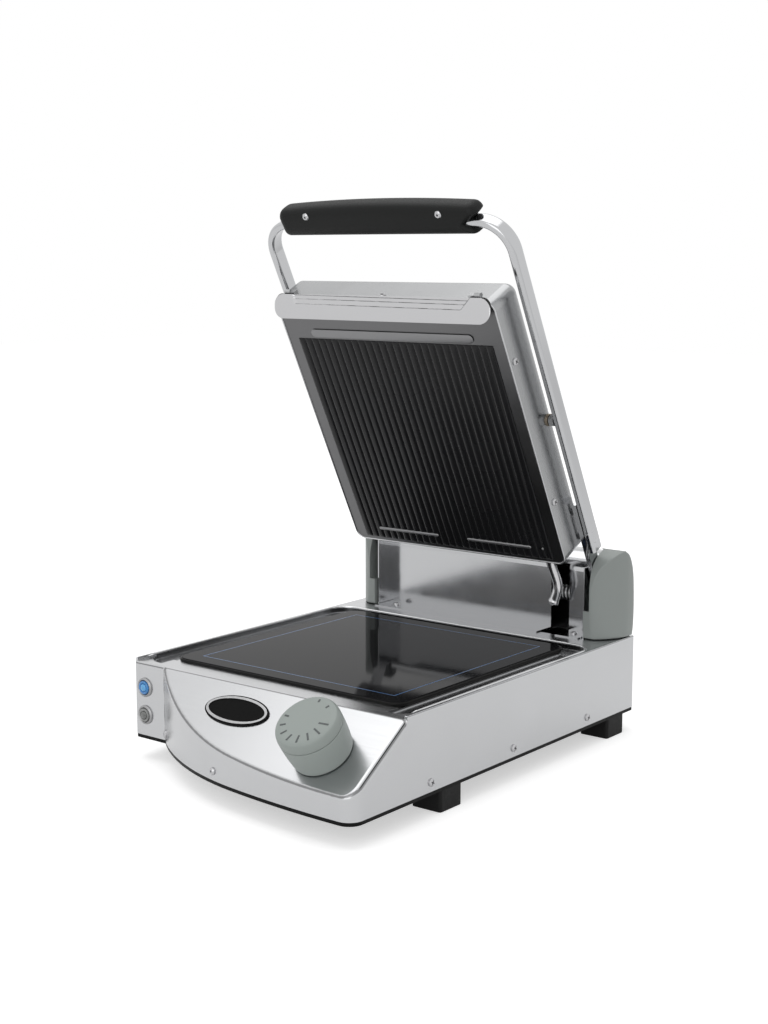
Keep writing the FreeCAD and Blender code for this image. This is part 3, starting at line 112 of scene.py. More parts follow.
class PressPlasticSettings(bpy.types.PropertyGroup):
    """Colours of the moulded pieces, rubber and enamel."""

    cover_colour: FloatVectorProperty(
        name="Hinge covers", description="Colour of the two cheeks",
        default=(0.278, 0.302, 0.291), **COLOUR)
    knob_colour: FloatVectorProperty(
        name="Dial", description="Colour of the dial knob", default=(0.300, 0.335, 0.318), **COLOUR)
    mark_colour: FloatVectorProperty(
        name="Dial marks", description="Colour of the dial's ticks",
        default=(0.085, 0.095, 0.095), **COLOUR)
    grip_colour: FloatVectorProperty(
        name="Grip", description="Colour of the bar grip", default=(0.007, 0.0075, 0.0073), **COLOUR)
    enamel_colour: FloatVectorProperty(
        name="Enamel", description="Colour of the bottom pan", default=(0.004, 0.004, 0.004), **COLOUR)
    lens_blue: FloatVectorProperty(
        name="Power lamp", description="Colour of the upper lamp's rim",
        default=(0.03, 0.22, 0.55), **COLOUR)
    lens_blue_core: FloatVectorProperty(
        name="Power lamp dome", description="Colour of the upper lamp's dome",
        default=(0.10, 0.40, 0.75), **COLOUR)
    lens_grey: FloatVectorProperty(
        name="Heating lamp", description="Colour of the lower lamp's rim",
        default=(0.22, 0.225, 0.22), **COLOUR)
    lens_grey_core: FloatVectorProperty(
        name="Heating lamp dome", description="Colour of the lower lamp's dome",
        default=(0.14, 0.145, 0.14), **COLOUR)


class PressGlassSettings(bpy.types.PropertyGroup):
    """Glass-ceramic plates and the printed line on the lower one."""

    glass_colour: FloatVectorProperty(
        name="Glass", description="Colour of the glass-ceramic", default=(0.010, 0.010, 0.011), **COLOUR)
    glass_roughness: FloatProperty(
        name="Glass roughness", description="Blur of the glass's reflections", default=0.06, min=0, max=1)
    line_colour: FloatVectorProperty(
        name="Printed line", description="Colour of the line round the heated zone",
        default=(0.05, 0.15, 0.36), **COLOUR)
    line_half_side: FloatProperty(
        name="Line half side", description="From the glass's middle to the printed line", unit="LENGTH",
        default=0.117, min=0.05, max=0.13)
    line_width: FloatProperty(
        name="Line width", description="Width of the printed line", unit="LENGTH",
        default=0.0011, min=0, max=0.01)


class PressDialSettings(bpy.types.PropertyGroup):
    """Ticks on the dial's face."""

    tick_count: IntProperty(name="Ticks", description="How many long ticks", default=8, min=2, max=30)
    first_angle: FloatProperty(
        name="First tick", description="Angle of the first tick from the dial's right, anticlockwise",
        subtype="ANGLE", default=math.radians(178))
    sweep: FloatProperty(
        name="Sweep", description="From the first tick to the last, anticlockwise", subtype="ANGLE",
        default=math.radians(185))
    first_length: FloatProperty(
        name="First tick length", description="Length of the first tick along the face", unit="LENGTH",
        default=0.0045, min=0.001, max=0.02)
    last_length: FloatProperty(
        name="Last tick length", description="Length of the last tick along the face", unit="LENGTH",
        default=0.0100, min=0.001, max=0.02)
    tick_width: FloatProperty(
        name="Tick width", description="Width of a tick", unit="LENGTH",
        default=0.0016, min=0.0002, max=0.01)


class PressStageSettings(bpy.types.PropertyGroup):
    """Camera, lamps and floor."""

    camera_place: FloatVectorProperty(
        name="Camera", description="Camera place, from the middle of the panel's top edge, at the worktop",
        subtype="TRANSLATION", unit="LENGTH", default=(0.9785, -1.0631, 0.4816))
    camera_azimuth: FloatProperty(
        name="Camera azimuth", description="Turn of the view round the press", subtype="ANGLE",
        default=math.radians(38.24))
    camera_pitch: FloatProperty(
        name="Camera pitch", description="Tilt of the view below the horizon", subtype="ANGLE",
        default=math.radians(8.93))
    lens: FloatProperty(
        name="Lens", description="Focal length in millimetres on a 36 mm sensor",
        default=58.03, min=10, max=300)
    key_power: FloatProperty(
        name="Softbox", description="Power of the large overhead softbox", default=25.0, min=0, max=500)
    fill_power: FloatProperty(
        name="Fill", description="Power of the front fill light", default=16.0, min=0, max=500)
    world_light: FloatProperty(
        name="World light", description="Strength of the even light from all round",
        default=0.62, min=0, max=2)


# ---------------------------------------------------------------- shader helpers
def feed(node, inputs):
    """Set each named input of a node to a value, or link it where a socket is given."""
    for key, value in inputs.items():
        if isinstance(value, bpy.types.NodeSocket):
            node.id_data.links.new(value, node.inputs[key])
        else:
            node.inputs[key].default_value = value
    return node


def add_node(tree, kind, inputs, **settings):
    """A new node of a kind, with its settings made before its inputs are fed."""
    node = tree.nodes.new("ShaderNode" + kind)
    for key, value in settings.items():
        setattr(node, key, value)
    return feed(node, inputs)


def finish(name, sockets_of):
    """Material whose Principled shader is fed with what sockets_of works out on its tree."""
    material = bpy.data.materials.new(name)
    material.use_nodes = True
    tree = material.node_tree
    feed(tree.nodes["Principled BSDF"], sockets_of(tree))
    return material


def object_place(tree):
    """Object coordinates."""
    return add_node(tree, "TexCoord", {}).outputs["Object"]


def object_noise(tree, scale, detail, stretch=(1, 1, 1)):
    """Noise on Object coordinates, stretched per axis; returns its factor socket."""
    mapping = add_node(tree, "Mapping", {"Vector": object_place(tree), "Scale": stretch})
    noise = add_node(tree, "TexNoise", {"Vector": mapping.outputs["Vector"], "Scale": scale, "Detail": detail,
                                        "Roughness": 0.5})
    return noise.outputs["Fac"]


def map_range(tree, value, source, target, **settings):
    """A value moved from one range onto another."""
    inputs = dict(zip(("Value", "From Min", "From Max", "To Min", "To Max"), (value, *source, *target)))
    return add_node(tree, "MapRange", inputs, **settings).outputs["Result"]


def ranged(tree, factor, low, high):
    """A noise factor stretched from its usual 0.3 to 0.7 onto low to high."""
    return map_range(tree, factor, (0.3, 0.7), (low, high))


def shade(colour, factor):
    """The colour times a factor, no channel over 1."""
    return (*[min(1, channel * factor) for channel in colour], 1)


def mixed(tree, factor, first, second):
    """The first colour turned to the second by a factor."""
    inputs = {"Factor": factor, "A": first, "B": second}
    return add_node(tree, "Mix", inputs, data_type="RGBA").outputs["Result"]


def tinted(tree, factor, colour, spread):
    """The colour made a little darker and lighter by a factor."""
    return mixed(tree, factor, shade(colour, 1 - spread), shade(colour, 1 + spread))


def bumped(tree, height, strength, distance):
    """A bump normal from a height socket."""
    inputs = {"Height": height, "Strength": strength, "Distance": distance}
    return add_node(tree, "Bump", inputs).outputs["Normal"]


def math_node(tree, operation, *values):
    """Result of a Math node on one or two sockets or numbers."""
    return add_node(tree, "Math", dict(enumerate(values)), operation=operation).outputs["Value"]


def product(tree, first, *others):
    """Product of several factors."""
    for other in others:
        first = math_node(tree, "MULTIPLY", first, other)
    return first


def band(tree, value, rise_from, rise_to, fall_from, fall_to):
    """1 between two soft edges of a value, 0 outside them."""
    rise = map_range(tree, value, (rise_from, rise_to), (0, 1), interpolation_type="SMOOTHSTEP")
    fall = map_range(tree, value, (fall_from, fall_to), (1, 0), interpolation_type="SMOOTHSTEP")
    return product(tree, rise, fall)


def parts(tree, vector):
    """X, Y and Z sockets of a vector."""
    return add_node(tree, "SeparateXYZ", {"Vector": vector}).outputs


def satin_steel(name, colour, roughness, depth):
    """Satin sheet: fine grain that runs from front to back on the sides and across on the rest. Rounded
    edges, read from the normal's height, get a painted dark reflection, and so do the walls of the drip
    gutter, read from where they stand."""
    def sockets(tree):
        across = object_noise(tree, 1.0, 2.0, (9, 700, 700))
        along = object_noise(tree, 1.0, 2.0, (700, 9, 700))
        cloud = object_noise(tree, 14.0, 3.0)
        normal = parts(tree, add_node(tree, "NewGeometry", {}).outputs["Normal"])
        sideways = math_node(tree, "ABSOLUTE", normal["X"])
        grain = add_node(tree, "Mix", {"Factor": sideways, "A": across, "B": along}).outputs["Result"]
        place = parts(tree, object_place(tree))
        out = math_node(tree, "ABSOLUTE", place["X"])
        # Painted dark reflection: rounded edges, where the normal points half way up, turn to 0.42 of the
        # colour.
        edge_dark_reflection = band(tree, normal["Z"], 0.26, 0.40, 0.58, 0.72)
        # Painted dark reflection: the drip gutter's walls, picked out by height, width, depth and facing,
        # turn to 0.16 of the colour.
        wall = product(tree, band(tree, place["Z"], 0.0918, 0.0926, 0.0962, 0.0972),
                       band(tree, out, -1.0, -0.9, 0.1600, 0.1610),
                       band(tree, place["Y"], -0.1500, -0.1490, 0.2200, 0.2210),
                       band(tree, normal["Z"], -1.2, -1.1, 0.4, 0.9))
        tone = mixed(tree, edge_dark_reflection, tinted(tree, cloud, colour, 0.04), shade(colour, 0.42))
        return {"Metallic": 1.0, "Base Color": mixed(tree, wall, tone, shade(colour, 0.16)),
                "Roughness": ranged(tree, grain, roughness - 0.02, roughness + 0.03),
                "Normal": bumped(tree, grain, depth, 0.0004)}
    return finish(name, sockets)


def polished_steel(name, colour, roughness, crease=0.0):
    """Polished sheet: faint waves and a little haze, with a painted shade line, near black, where the mesh's
    own crease attribute says so."""
    def sockets(tree):
        wave = object_noise(tree, 9.0, 1.0)
        haze = object_noise(tree, 26.0, 3.0)
        tone = tinted(tree, haze, colour, 0.02)
        if crease:
            line = add_node(tree, "Attribute", {}, attribute_name="crease").outputs["Fac"]
            # Painted shade: the crease attribute turns the colour towards near black along the lines it
            # marks.
            tone = mixed(tree, math_node(tree, "MULTIPLY", line, crease), tone, (0.05, 0.05, 0.052, 1))
        return {"Metallic": 1.0, "Base Color": tone,
                "Roughness": ranged(tree, haze, roughness - 0.02, roughness + 0.03),
                "Normal": bumped(tree, wave, 0.03, 0.004)}
    return finish(name, sockets)


def plated(name, colour, roughness):
    """Chrome or zinc plate with a fine haze."""
    def sockets(tree):
        haze = object_noise(tree, 220.0, 3.0)
        return {"Metallic": 1.0, "Base Color": tinted(tree, haze, colour, 0.06),
                "Roughness": ranged(tree, haze, roughness - 0.04, roughness + 0.08)}
    return finish(name, sockets)


def moulded(name, colour, roughness, grain=0.12, size=1400.0, gloss=0.5):
    """Moulded plastic with a fine spark-eroded texture and slight unevenness of tone."""
    def sockets(tree):
        texture = object_noise(tree, size, 2.0)
        cloud = object_noise(tree, 18.0, 2.0)
        return {"Base Color": tinted(tree, cloud, colour, 0.035),
                "Roughness": ranged(tree, texture, roughness - 0.06, roughness + 0.06),
                "Normal": bumped(tree, texture, grain, 0.0003), "Specular IOR Level": gloss}
    return finish(name, sockets)


def glass_ceramic(name, colour, roughness, gloss):
    """Opaque black glass-ceramic with a trace of wiped film."""
    def sockets(tree):
        film = object_noise(tree, 16.0, 4.0)
        return {"Base Color": tinted(tree, film, colour, 0.15),
                "Roughness": ranged(tree, film, roughness - 0.02, roughness + 0.03),
                "IOR": 1.5, "Specular IOR Level": gloss}
    return finish(name, sockets)


def lamp_plastic(name, colour):
    """Lamp lens: coloured, glossy, with fine facets."""
    def sockets(tree):
        voronoi = add_node(tree, "TexVoronoi", {"Vector": object_place(tree), "Scale": 520.0})
        cells = voronoi.outputs["Distance"]
        return {"Base Color": tinted(tree, cells, colour, 0.25), "Normal": bumped(tree, cells, 0.15, 0.0004),
                "Roughness": 0.12, "Coat Weight": 0.6, "Coat Roughness": 0.05}
    return finish(name, sockets)


def printed(name, colour, roughness):
    """Printed ink with a slightly uneven tone."""
    return finish(name, lambda tree: {"Base Color": tinted(tree, object_noise(tree, 900.0, 2.0), colour, 0.1),
                                      "Roughness": roughness})


def wear(material, *names):
    """Give CAD nodes one material each in place of what they came with."""
    for name in names:
        mesh = NODES[name].data
        mesh.materials.clear()
        mesh.materials.append(material)


# ---------------------------------------------------------------- mesh helpers
def grid_mesh(name, points, closed_u=False, closed_v=False, closed_shell=False):
    """Mesh over a grid of points (rows u, columns v), with faces between neighbours and round closed ways.

    A closed shell has its poles and seams merged and its faces turned outwards.
    """
    rows, columns = points.shape[:2]
    u = np.arange(rows if closed_u else rows - 1)
    v = np.arange(columns if closed_v else columns - 1)
    uu, vv = np.meshgrid(u, v, indexing="ij")
    un, vn = (uu + 1) % rows, (vv + 1) % columns
    faces = np.stack([uu * columns + vv, un * columns + vv, un * columns + vn, uu * columns + vn], -1)
    mesh = bpy.data.meshes.new(name)
    mesh.from_pydata(points.reshape(-1, 3).tolist(), [], faces.reshape(-1, 4).tolist())
    if closed_shell:
        close_shell(mesh)
    mesh.validate()
    return mesh


def close_shell(mesh):
    """Merge what coincides and turn every face outwards."""
    work = bmesh.new()
    work.from_mesh(mesh)
    bmesh.ops.remove_doubles(work, verts=work.verts, dist=0.000002)
    bmesh.ops.dissolve_degenerate(work, edges=work.edges, dist=0.000001)
    bmesh.ops.recalc_face_normals(work, faces=work.faces)
    work.to_mesh(mesh)
    work.free()


def joined_mesh(name, meshes):
    """One mesh from several."""
    work = bmesh.new()
    for mesh in meshes:
        work.from_mesh(mesh)
        bpy.data.meshes.remove(mesh)
    joined = bpy.data.meshes.new(name)
    work.to_mesh(joined)
    work.free()
    return joined


def place_piece(name, mesh, material, body, sharp=40.0):
    """Object at the origin with one material, riding on a body; edges bent by more than sharp degrees
    stay crisp."""
    piece = bpy.data.objects.new(name, mesh)
    bpy.context.scene.collection.objects.link(piece)
    mesh.materials.append(material)
    mesh.polygons.foreach_set("use_smooth", np.full(len(mesh.polygons), True))
    mesh.set_sharp_from_angle(angle=math.radians(sharp))
    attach(piece, body)
    return piece


def smooth_line(points, count):
    """Catmull-Rom curve: through each point, with the slope there half the step between its two
    neighbours."""
    points = np.asarray(points, float)
    padded = np.vstack([2 * points[0] - points[1], points, 2 * points[-1] - points[-2]])
    t = np.linspace(0, len(points) - 1, count)
    i = np.minimum(t.astype(int), len(points) - 2)
    f = (t - i)[:, None]
    a, b, c, d = padded[i], padded[i + 1], padded[i + 2], padded[i + 3]
    return b + 0.5 * f * (c - a + f * (2 * a - 5 * b + 4 * c - d + f * (3 * (b - c) + d - a)))


def full_turn(count):
    """Angles once round, the last one short of the first."""
    return np.linspace(0, 2 * math.pi, count, endpoint=False)


def squared_turn(count, power):
    """Cosine and sine once round, each raised to a power with its sign kept, which squares the circle
    off."""
    turn = full_turn(count)
    return [np.sign(wave) * np.abs(wave) ** power for wave in (np.cos(turn), np.sin(turn))]


def closing(count, power):
    """Places from -1 to 1, closer together near both ends."""
    t = np.linspace(-1, 1, count)
    return np.sign(t) * (1 - (1 - np.abs(t)) ** power)


def smooth_step(x):
    """0 below 0, 1 above 1, and 3x^2 - 2x^3 between."""
    x = np.clip(x, 0, 1)
    return x * x * (3 - 2 * x)


def lathe(name, profile, centre, axis, right, segments=96):
    """Profile of (radius, height) turned round an axis: centre + radius * (cos a * right + sin a *
    across) + height * axis."""
    profile = np.asarray(profile, float)
    turn = full_turn(segments)
    axis, right = np.asarray(axis, float), np.asarray(right, float)
    across = np.cross(axis, right)
    ring = np.cos(turn)[:, None] * right + np.sin(turn)[:, None] * across
    points = np.asarray(centre, float) + profile[None, :, :1] * ring[:, None, :] + profile[None, :, 1:] * axis
    return grid_mesh(name, points, closed_u=True, closed_shell=True)


def panel_place(x, down, height=0.0):
    """Point over the sloped panel: x, distance down the slope from its top edge, height along its
    normal."""
    low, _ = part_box("base_shell")
    top_y, top_z = low.y + PANEL_BACK * MM, low.z + PANEL_TOP * MM
    y = top_y - down * math.cos(PANEL_SLOPE) - height * math.sin(PANEL_SLOPE)
    z = top_z - down * math.sin(PANEL_SLOPE) + height * math.cos(PANEL_SLOPE)
    return np.stack(np.broadcast_arrays(x, y, z), -1).astype(float)


def lid_place(x, reach, below):
    """Point on the open lid: x, reach from the hinge along the lid, distance towards the lower plate; all
    metres."""
    low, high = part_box("hinge_shaft")
    hinge_y, hinge_z = (low.y + high.y) / 2, (low.z + high.z) / 2
    y = hinge_y - reach * math.cos(LID_OPEN) - below * math.sin(LID_OPEN)
    z = hinge_z + reach * math.sin(LID_OPEN) - below * math.cos(LID_OPEN)
    return np.stack(np.broadcast_arrays(x, y, z), -1).astype(float)


def face_forwards(mesh):
    """Turn an open sheet so that it faces the front."""
    normals = np.empty(len(mesh.polygons) * 3)
    mesh.polygons.foreach_get("normal", normals)
    if normals.reshape(-1, 3)[:, 1].mean() > 0:
        mesh.flip_normals()


# ---------------------------------------------------------------- operators
class PRESS_OT_finish_steel(bpy.types.Operator):
    """Satin body sheet, polished tower, arms and casing, and the chromed, zinc-plated and bronze small
    pieces."""

    bl_idname = "press.finish_steel"
    bl_label = "Finish steel"

    def execute(self, context):
        steel = context.scene.press_steel
        wear(satin_steel("satin_body_steel", steel.body_colour, steel.body_roughness, steel.grain_depth),
             "base_shell")
        wear(polished_steel("tower_sheet", steel.tower_colour, 0.15), "hinge_tower")
        wear(polished_steel("casing_sheet", steel.casing_colour, 0.24), "upper_casing")
        wear(polished_steel("frame_sheet", steel.frame_colour, 0.34), "upper_frame")
        wear(polished_steel("polished_arms", steel.polished_colour, steel.polished_roughness + 0.02),
             "handle_tube", "arm_lever_left", "arm_lever_right")
        wear(plated("chrome_plate", steel.chrome_colour, 0.14), "lower_probe", "upper_probe")
        wear(plated("badge_ring_plate", (0.40, 0.40, 0.405), 0.22), "badge_ring")
        wear(plated("screw_plate", (0.50, 0.50, 0.51), 0.25),
             "body_screws", "tower_screws", "casing_screws", "grip_screws")
        wear(plated("bezel_plate", steel.bezel_colour, 0.38), "power_lamp_bezel", "heating_lamp_bezel")
        wear(plated("zinc_plate", (0.42, 0.425, 0.43), 0.3),
             "foot_screws", "arm_bolts", "pivot_studs", "flap_pins", "hinge_shaft", "hinge_bracket_left",
             "hinge_bracket_right", "balance_spring_left", "balance_spring_right", "thermostat_shaft",
             "lower_heater_tray", "upper_heater_tray", "lower_heating_coil", "upper_heating_coil")
        wear(plated("bearing_bronze", (0.31, 0.26, 0.20), 0.4), "hinge_bushes", "pivot_bushes")
        return {"FINISHED"}


class PRESS_OT_finish_plastic(bpy.types.Operator):
    """Rubber feet, enamelled pan, badge plate, seals and the plastic and ceramic pieces inside."""

    bl_idname = "press.finish_plastic"
    bl_label = "Finish plastic and rubber"

    def execute(self, context):
        plastic = context.scene.press_plastic
        wear(moulded("foot_rubber", (0.006, 0.006, 0.006), 0.55, 0.3, 500.0, 0.2),
             "foot_front_left", "foot_front_right", "foot_rear_left", "foot_rear_right")
        wear(moulded("pan_enamel", plastic.enamel_colour, 0.4, 0.05, 300.0, 0.1), "bottom_pan")
        wear(moulded("badge_lacquer", (0.004, 0.004, 0.004), 0.45, 0.02, 300.0, 0.04), "badge_plate")
        wear(moulded("gland_plastic", (0.02, 0.02, 0.02), 0.4), "cable_gland", "gland_nut", "lamp_holders")
        wear(moulded("switch_ceramic", (0.70, 0.68, 0.62), 0.3), "thermostat_body", "terminal_block")
        wear(moulded("mineral_wool", (0.66, 0.64, 0.58), 0.9, 0.6, 700.0),
             "lower_insulation", "upper_insulation")
        wear(moulded("seal_silicone", (0.012, 0.012, 0.012), 0.5, gloss=0.2),
             "lower_glass_seal", "upper_glass_seal")
        return {"FINISHED"}


class PRESS_OT_finish_glass(bpy.types.Operator):
    """Black glass-ceramic of the lower plate."""

    bl_idname = "press.finish_glass"
    bl_label = "Finish lower glass"

    def execute(self, context):
        glass = context.scene.press_glass
        wear(glass_ceramic("lower_glass_ceramic", glass.glass_colour, glass.glass_roughness, 0.025),
             "lower_glass")
        return {"FINISHED"}


class PRESS_OT_add_printed_line(bpy.types.Operator):
    """Printed line round the heated zone of the lower glass."""

    bl_idname = "press.add_printed_line"
    bl_label = "Printed line"

    def execute(self, context):
        """Square ring: the corners of two concentric squares, one a line width larger, just over the
        glass."""
        glass = context.scene.press_glass
        low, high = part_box("lower_glass")
        middle = np.array([(low.x + high.x) / 2, (low.y + high.y) / 2, high.z + 0.00006])
        turn = np.radians(45 + 90 * np.arange(4))
        corner = np.stack([np.cos(turn), np.sin(turn), 0 * turn], -1) * math.sqrt(2)
        sides = np.array([glass.line_half_side, glass.line_half_side - glass.line_width])
        points = middle + corner[:, None, :] * sides[None, :, None]
        mesh = grid_mesh("printed_line", points, closed_u=True)
        place_piece("printed_line", mesh, printed("line_ink", glass.line_colour, 0.3), "base")
        return {"FINISHED"}


class PRESS_OT_build_dial(bpy.types.Operator):
    """Dial knob turned from one profile, with its seam and rounded shoulder, and the ticks on its face."""

    bl_idname = "press.build_dial"
    bl_label = "Dial"

    def execute(self, context):
        plastic = context.scene.press_plastic
        centre = panel_place(DIAL_X * MM, DIAL_DOWN * MM)
        up_slope = np.array([0, math.cos(PANEL_SLOPE), math.sin(PANEL_SLOPE)])
        normal = np.array([0, -math.sin(PANEL_SLOPE), math.cos(PANEL_SLOPE)])
        mesh = lathe("dial_knob", self.profile() * MM, centre, normal, (1, 0, 0), 160)
        knob = place_piece("dial_knob", mesh, moulded("dial_plastic", plastic.knob_colour, 0.42), "knob",
                           50)
        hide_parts("knob_body", "knob_cap")
        place_piece("dial_marks", self.marks(context.scene.press_dial, centre, up_slope, normal),
                    printed("mark_ink", plastic.mark_colour, 0.5), "knob")
        return {"FINISHED"}

    def profile(self):
        """Radius against height in millimetres: a side that swells a little, a narrow groove at the seam,
        a shoulder that is a quarter of an ellipse, and a slightly domed face."""
        side_height = np.linspace(2.4, 28.5, 14)
        side = np.stack([27.4 + 1.9 * (1 - ((28.5 - side_height) / 26.1) ** 2.0), side_height], -1)
        turn = np.linspace(0, math.pi / 2, 12)
        shoulder = np.stack([26.3 + 3.0 * np.cos(turn) ** 0.8, 31.0 + 7.7 * np.sin(turn)], -1)
        face = np.linspace(25.6, 0, 8)
        dome = np.stack([face, DIAL_FACE + 0.25 * (1 - (face / 25.6) ** 2)], -1)
        base = np.array([[0, 0.8], [26.0, 0.8], [26.9, 1.1]])
        seam = np.array([[29.15, 28.9], [28.5, 29.0], [28.5, 29.5], [29.15, 29.6]])
        return np.vstack([base, side, seam, shoulder, dome])

    def marks(self, dial, centre, up_slope, normal):
        """Each tick is a thin block along a radius of the face, in the panel's own directions, longer
        from first to last. Two short ones stand apart near the top."""
        part = np.linspace(0, 1, dial.tick_count)
        angles = np.append(dial.first_angle + dial.sweep * part, np.radians([60.0, 93.0]))
        lengths = dial.first_length + (dial.last_length - dial.first_length) * part
        lengths = np.append(lengths, [3.4 * MM, 3.0 * MM])
        outer = np.append(np.full(dial.tick_count, 23.6 * MM), [23.0 * MM, 24.2 * MM])
        along = np.stack([np.cos(angles), np.sin(angles)], -1)
        across = np.stack([-np.sin(angles), np.cos(angles)], -1)
        reach = np.stack([outer - lengths, outer], -1)
        side = np.array([-0.5, 0.5]) * dial.tick_width
        level = np.array([DIAL_FACE, DIAL_FACE + 0.33]) * MM
        flat = along[:, None, None, :] * reach[:, :, None, None] + across[:, None, None, :] * side[:, None]
        points = centre + flat[..., :1] * (1.0, 0, 0) + flat[..., 1:] * up_slope
        points = points[..., None, :] + level[:, None] * normal
        corner = np.array([[0, 4, 6, 2], [1, 3, 7, 5], [0, 1, 5, 4],
                           [2, 6, 7, 3], [0, 2, 3, 1], [4, 5, 7, 6]])
        faces = (8 * np.arange(len(angles))[:, None, None] + corner[None]).reshape(-1, 4)
        mesh = bpy.data.meshes.new("dial_marks")
        mesh.from_pydata(points.reshape(-1, 3).tolist(), [], faces.tolist())
        close_shell(mesh)
        return mesh


class PRESS_OT_build_grip(bpy.types.Operator):
    """Moulded grip on the cross bar."""

    bl_idname = "press.build_grip"
    bl_label = "Grip"

    def execute(self, context):
        """A squared-off round carried from end to end. Its lower edge is straight and its upper edge
        arched; it narrows to nothing over a quarter round at each end, and each end is notched where the
        tube comes out."""
        plastic = context.scene.press_plastic
        half, cap = 118.0, 10.0
        x = half * closing(121, 1.7)
        inside = np.clip((half - np.abs(x)) / cap, 0, 1)
        shrink = (1 - (1 - inside) ** 2.4) ** (1 / 2.4)
        low = 410.0
        high = 438.5 + 4.0 * (1 - (x / half) ** 2)
        middle, reach = (high + low) / 2, (high - low) / 2
        c, s = squared_turn(72, 2 / 3)
        along = middle[:, None] + reach[:, None] * shrink[:, None] * c
        depth = 12.5 * shrink[:, None] * s
        x = np.broadcast_to(x[:, None], along.shape)
        notch = np.clip(1 - np.abs(along - 421) / 10.0, 0, 1)
        near = smooth_step((np.abs(x) - 96) / 20)
        x = x - np.sign(x) * notch * near * np.where(x > 0, 13.0, 1.5)
        points = lid_place(x * MM, along * MM, depth * MM)
        mesh = grid_mesh("bar_grip", points, closed_v=True, closed_shell=True)
        grained = moulded("grip_plastic", plastic.grip_colour, 0.5, 0.25, 900.0, 0.2)
        grip = place_piece("bar_grip", mesh, grained, "arms", 70)
        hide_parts("grip_front", "grip_rear")
        return {"FINISHED"}


class PRESS_OT_build_arm_ends(bpy.types.Operator):
    """Flattened lower ends of the arms, from the tube to the lever that goes into the hinge cover."""

    bl_idname = "press.build_arm_ends"
    bl_label = "Arm ends"

    def execute(self, context):
        """A squared-off round carried along the arm, moved inwards and thinned over a smooth step."""
        steel = context.scene.press_steel
        material = polished_steel("arm_end_steel", steel.polished_colour, steel.polished_roughness + 0.02)
        t = np.linspace(0, 1, 61)
        reach = 52.0 + 34.0 * t
        move = smooth_step((reach - 55) / 19)
        close = (1 - np.abs(2 * t - 1) ** 40) ** 0.5
        x = 136.7 + 6.8 * move
        thick = (2.75 + 1.5 * move) * close
        wide = (7.25 + 1.0 * move) * close
        c, s = squared_turn(48, 0.6)
        for side, name in ((1, "right"), (-1, "left")):
            points = lid_place(side * (x[:, None] + thick[:, None] * c) * MM,
                               np.broadcast_to(reach[:, None], (61, 48)) * MM, wide[:, None] * s * MM)
            mesh = grid_mesh("arm_end_" + name, points, closed_v=True, closed_shell=True)
            place_piece("arm_end_" + name, mesh, material, "arms", 60)
        return {"FINISHED"}


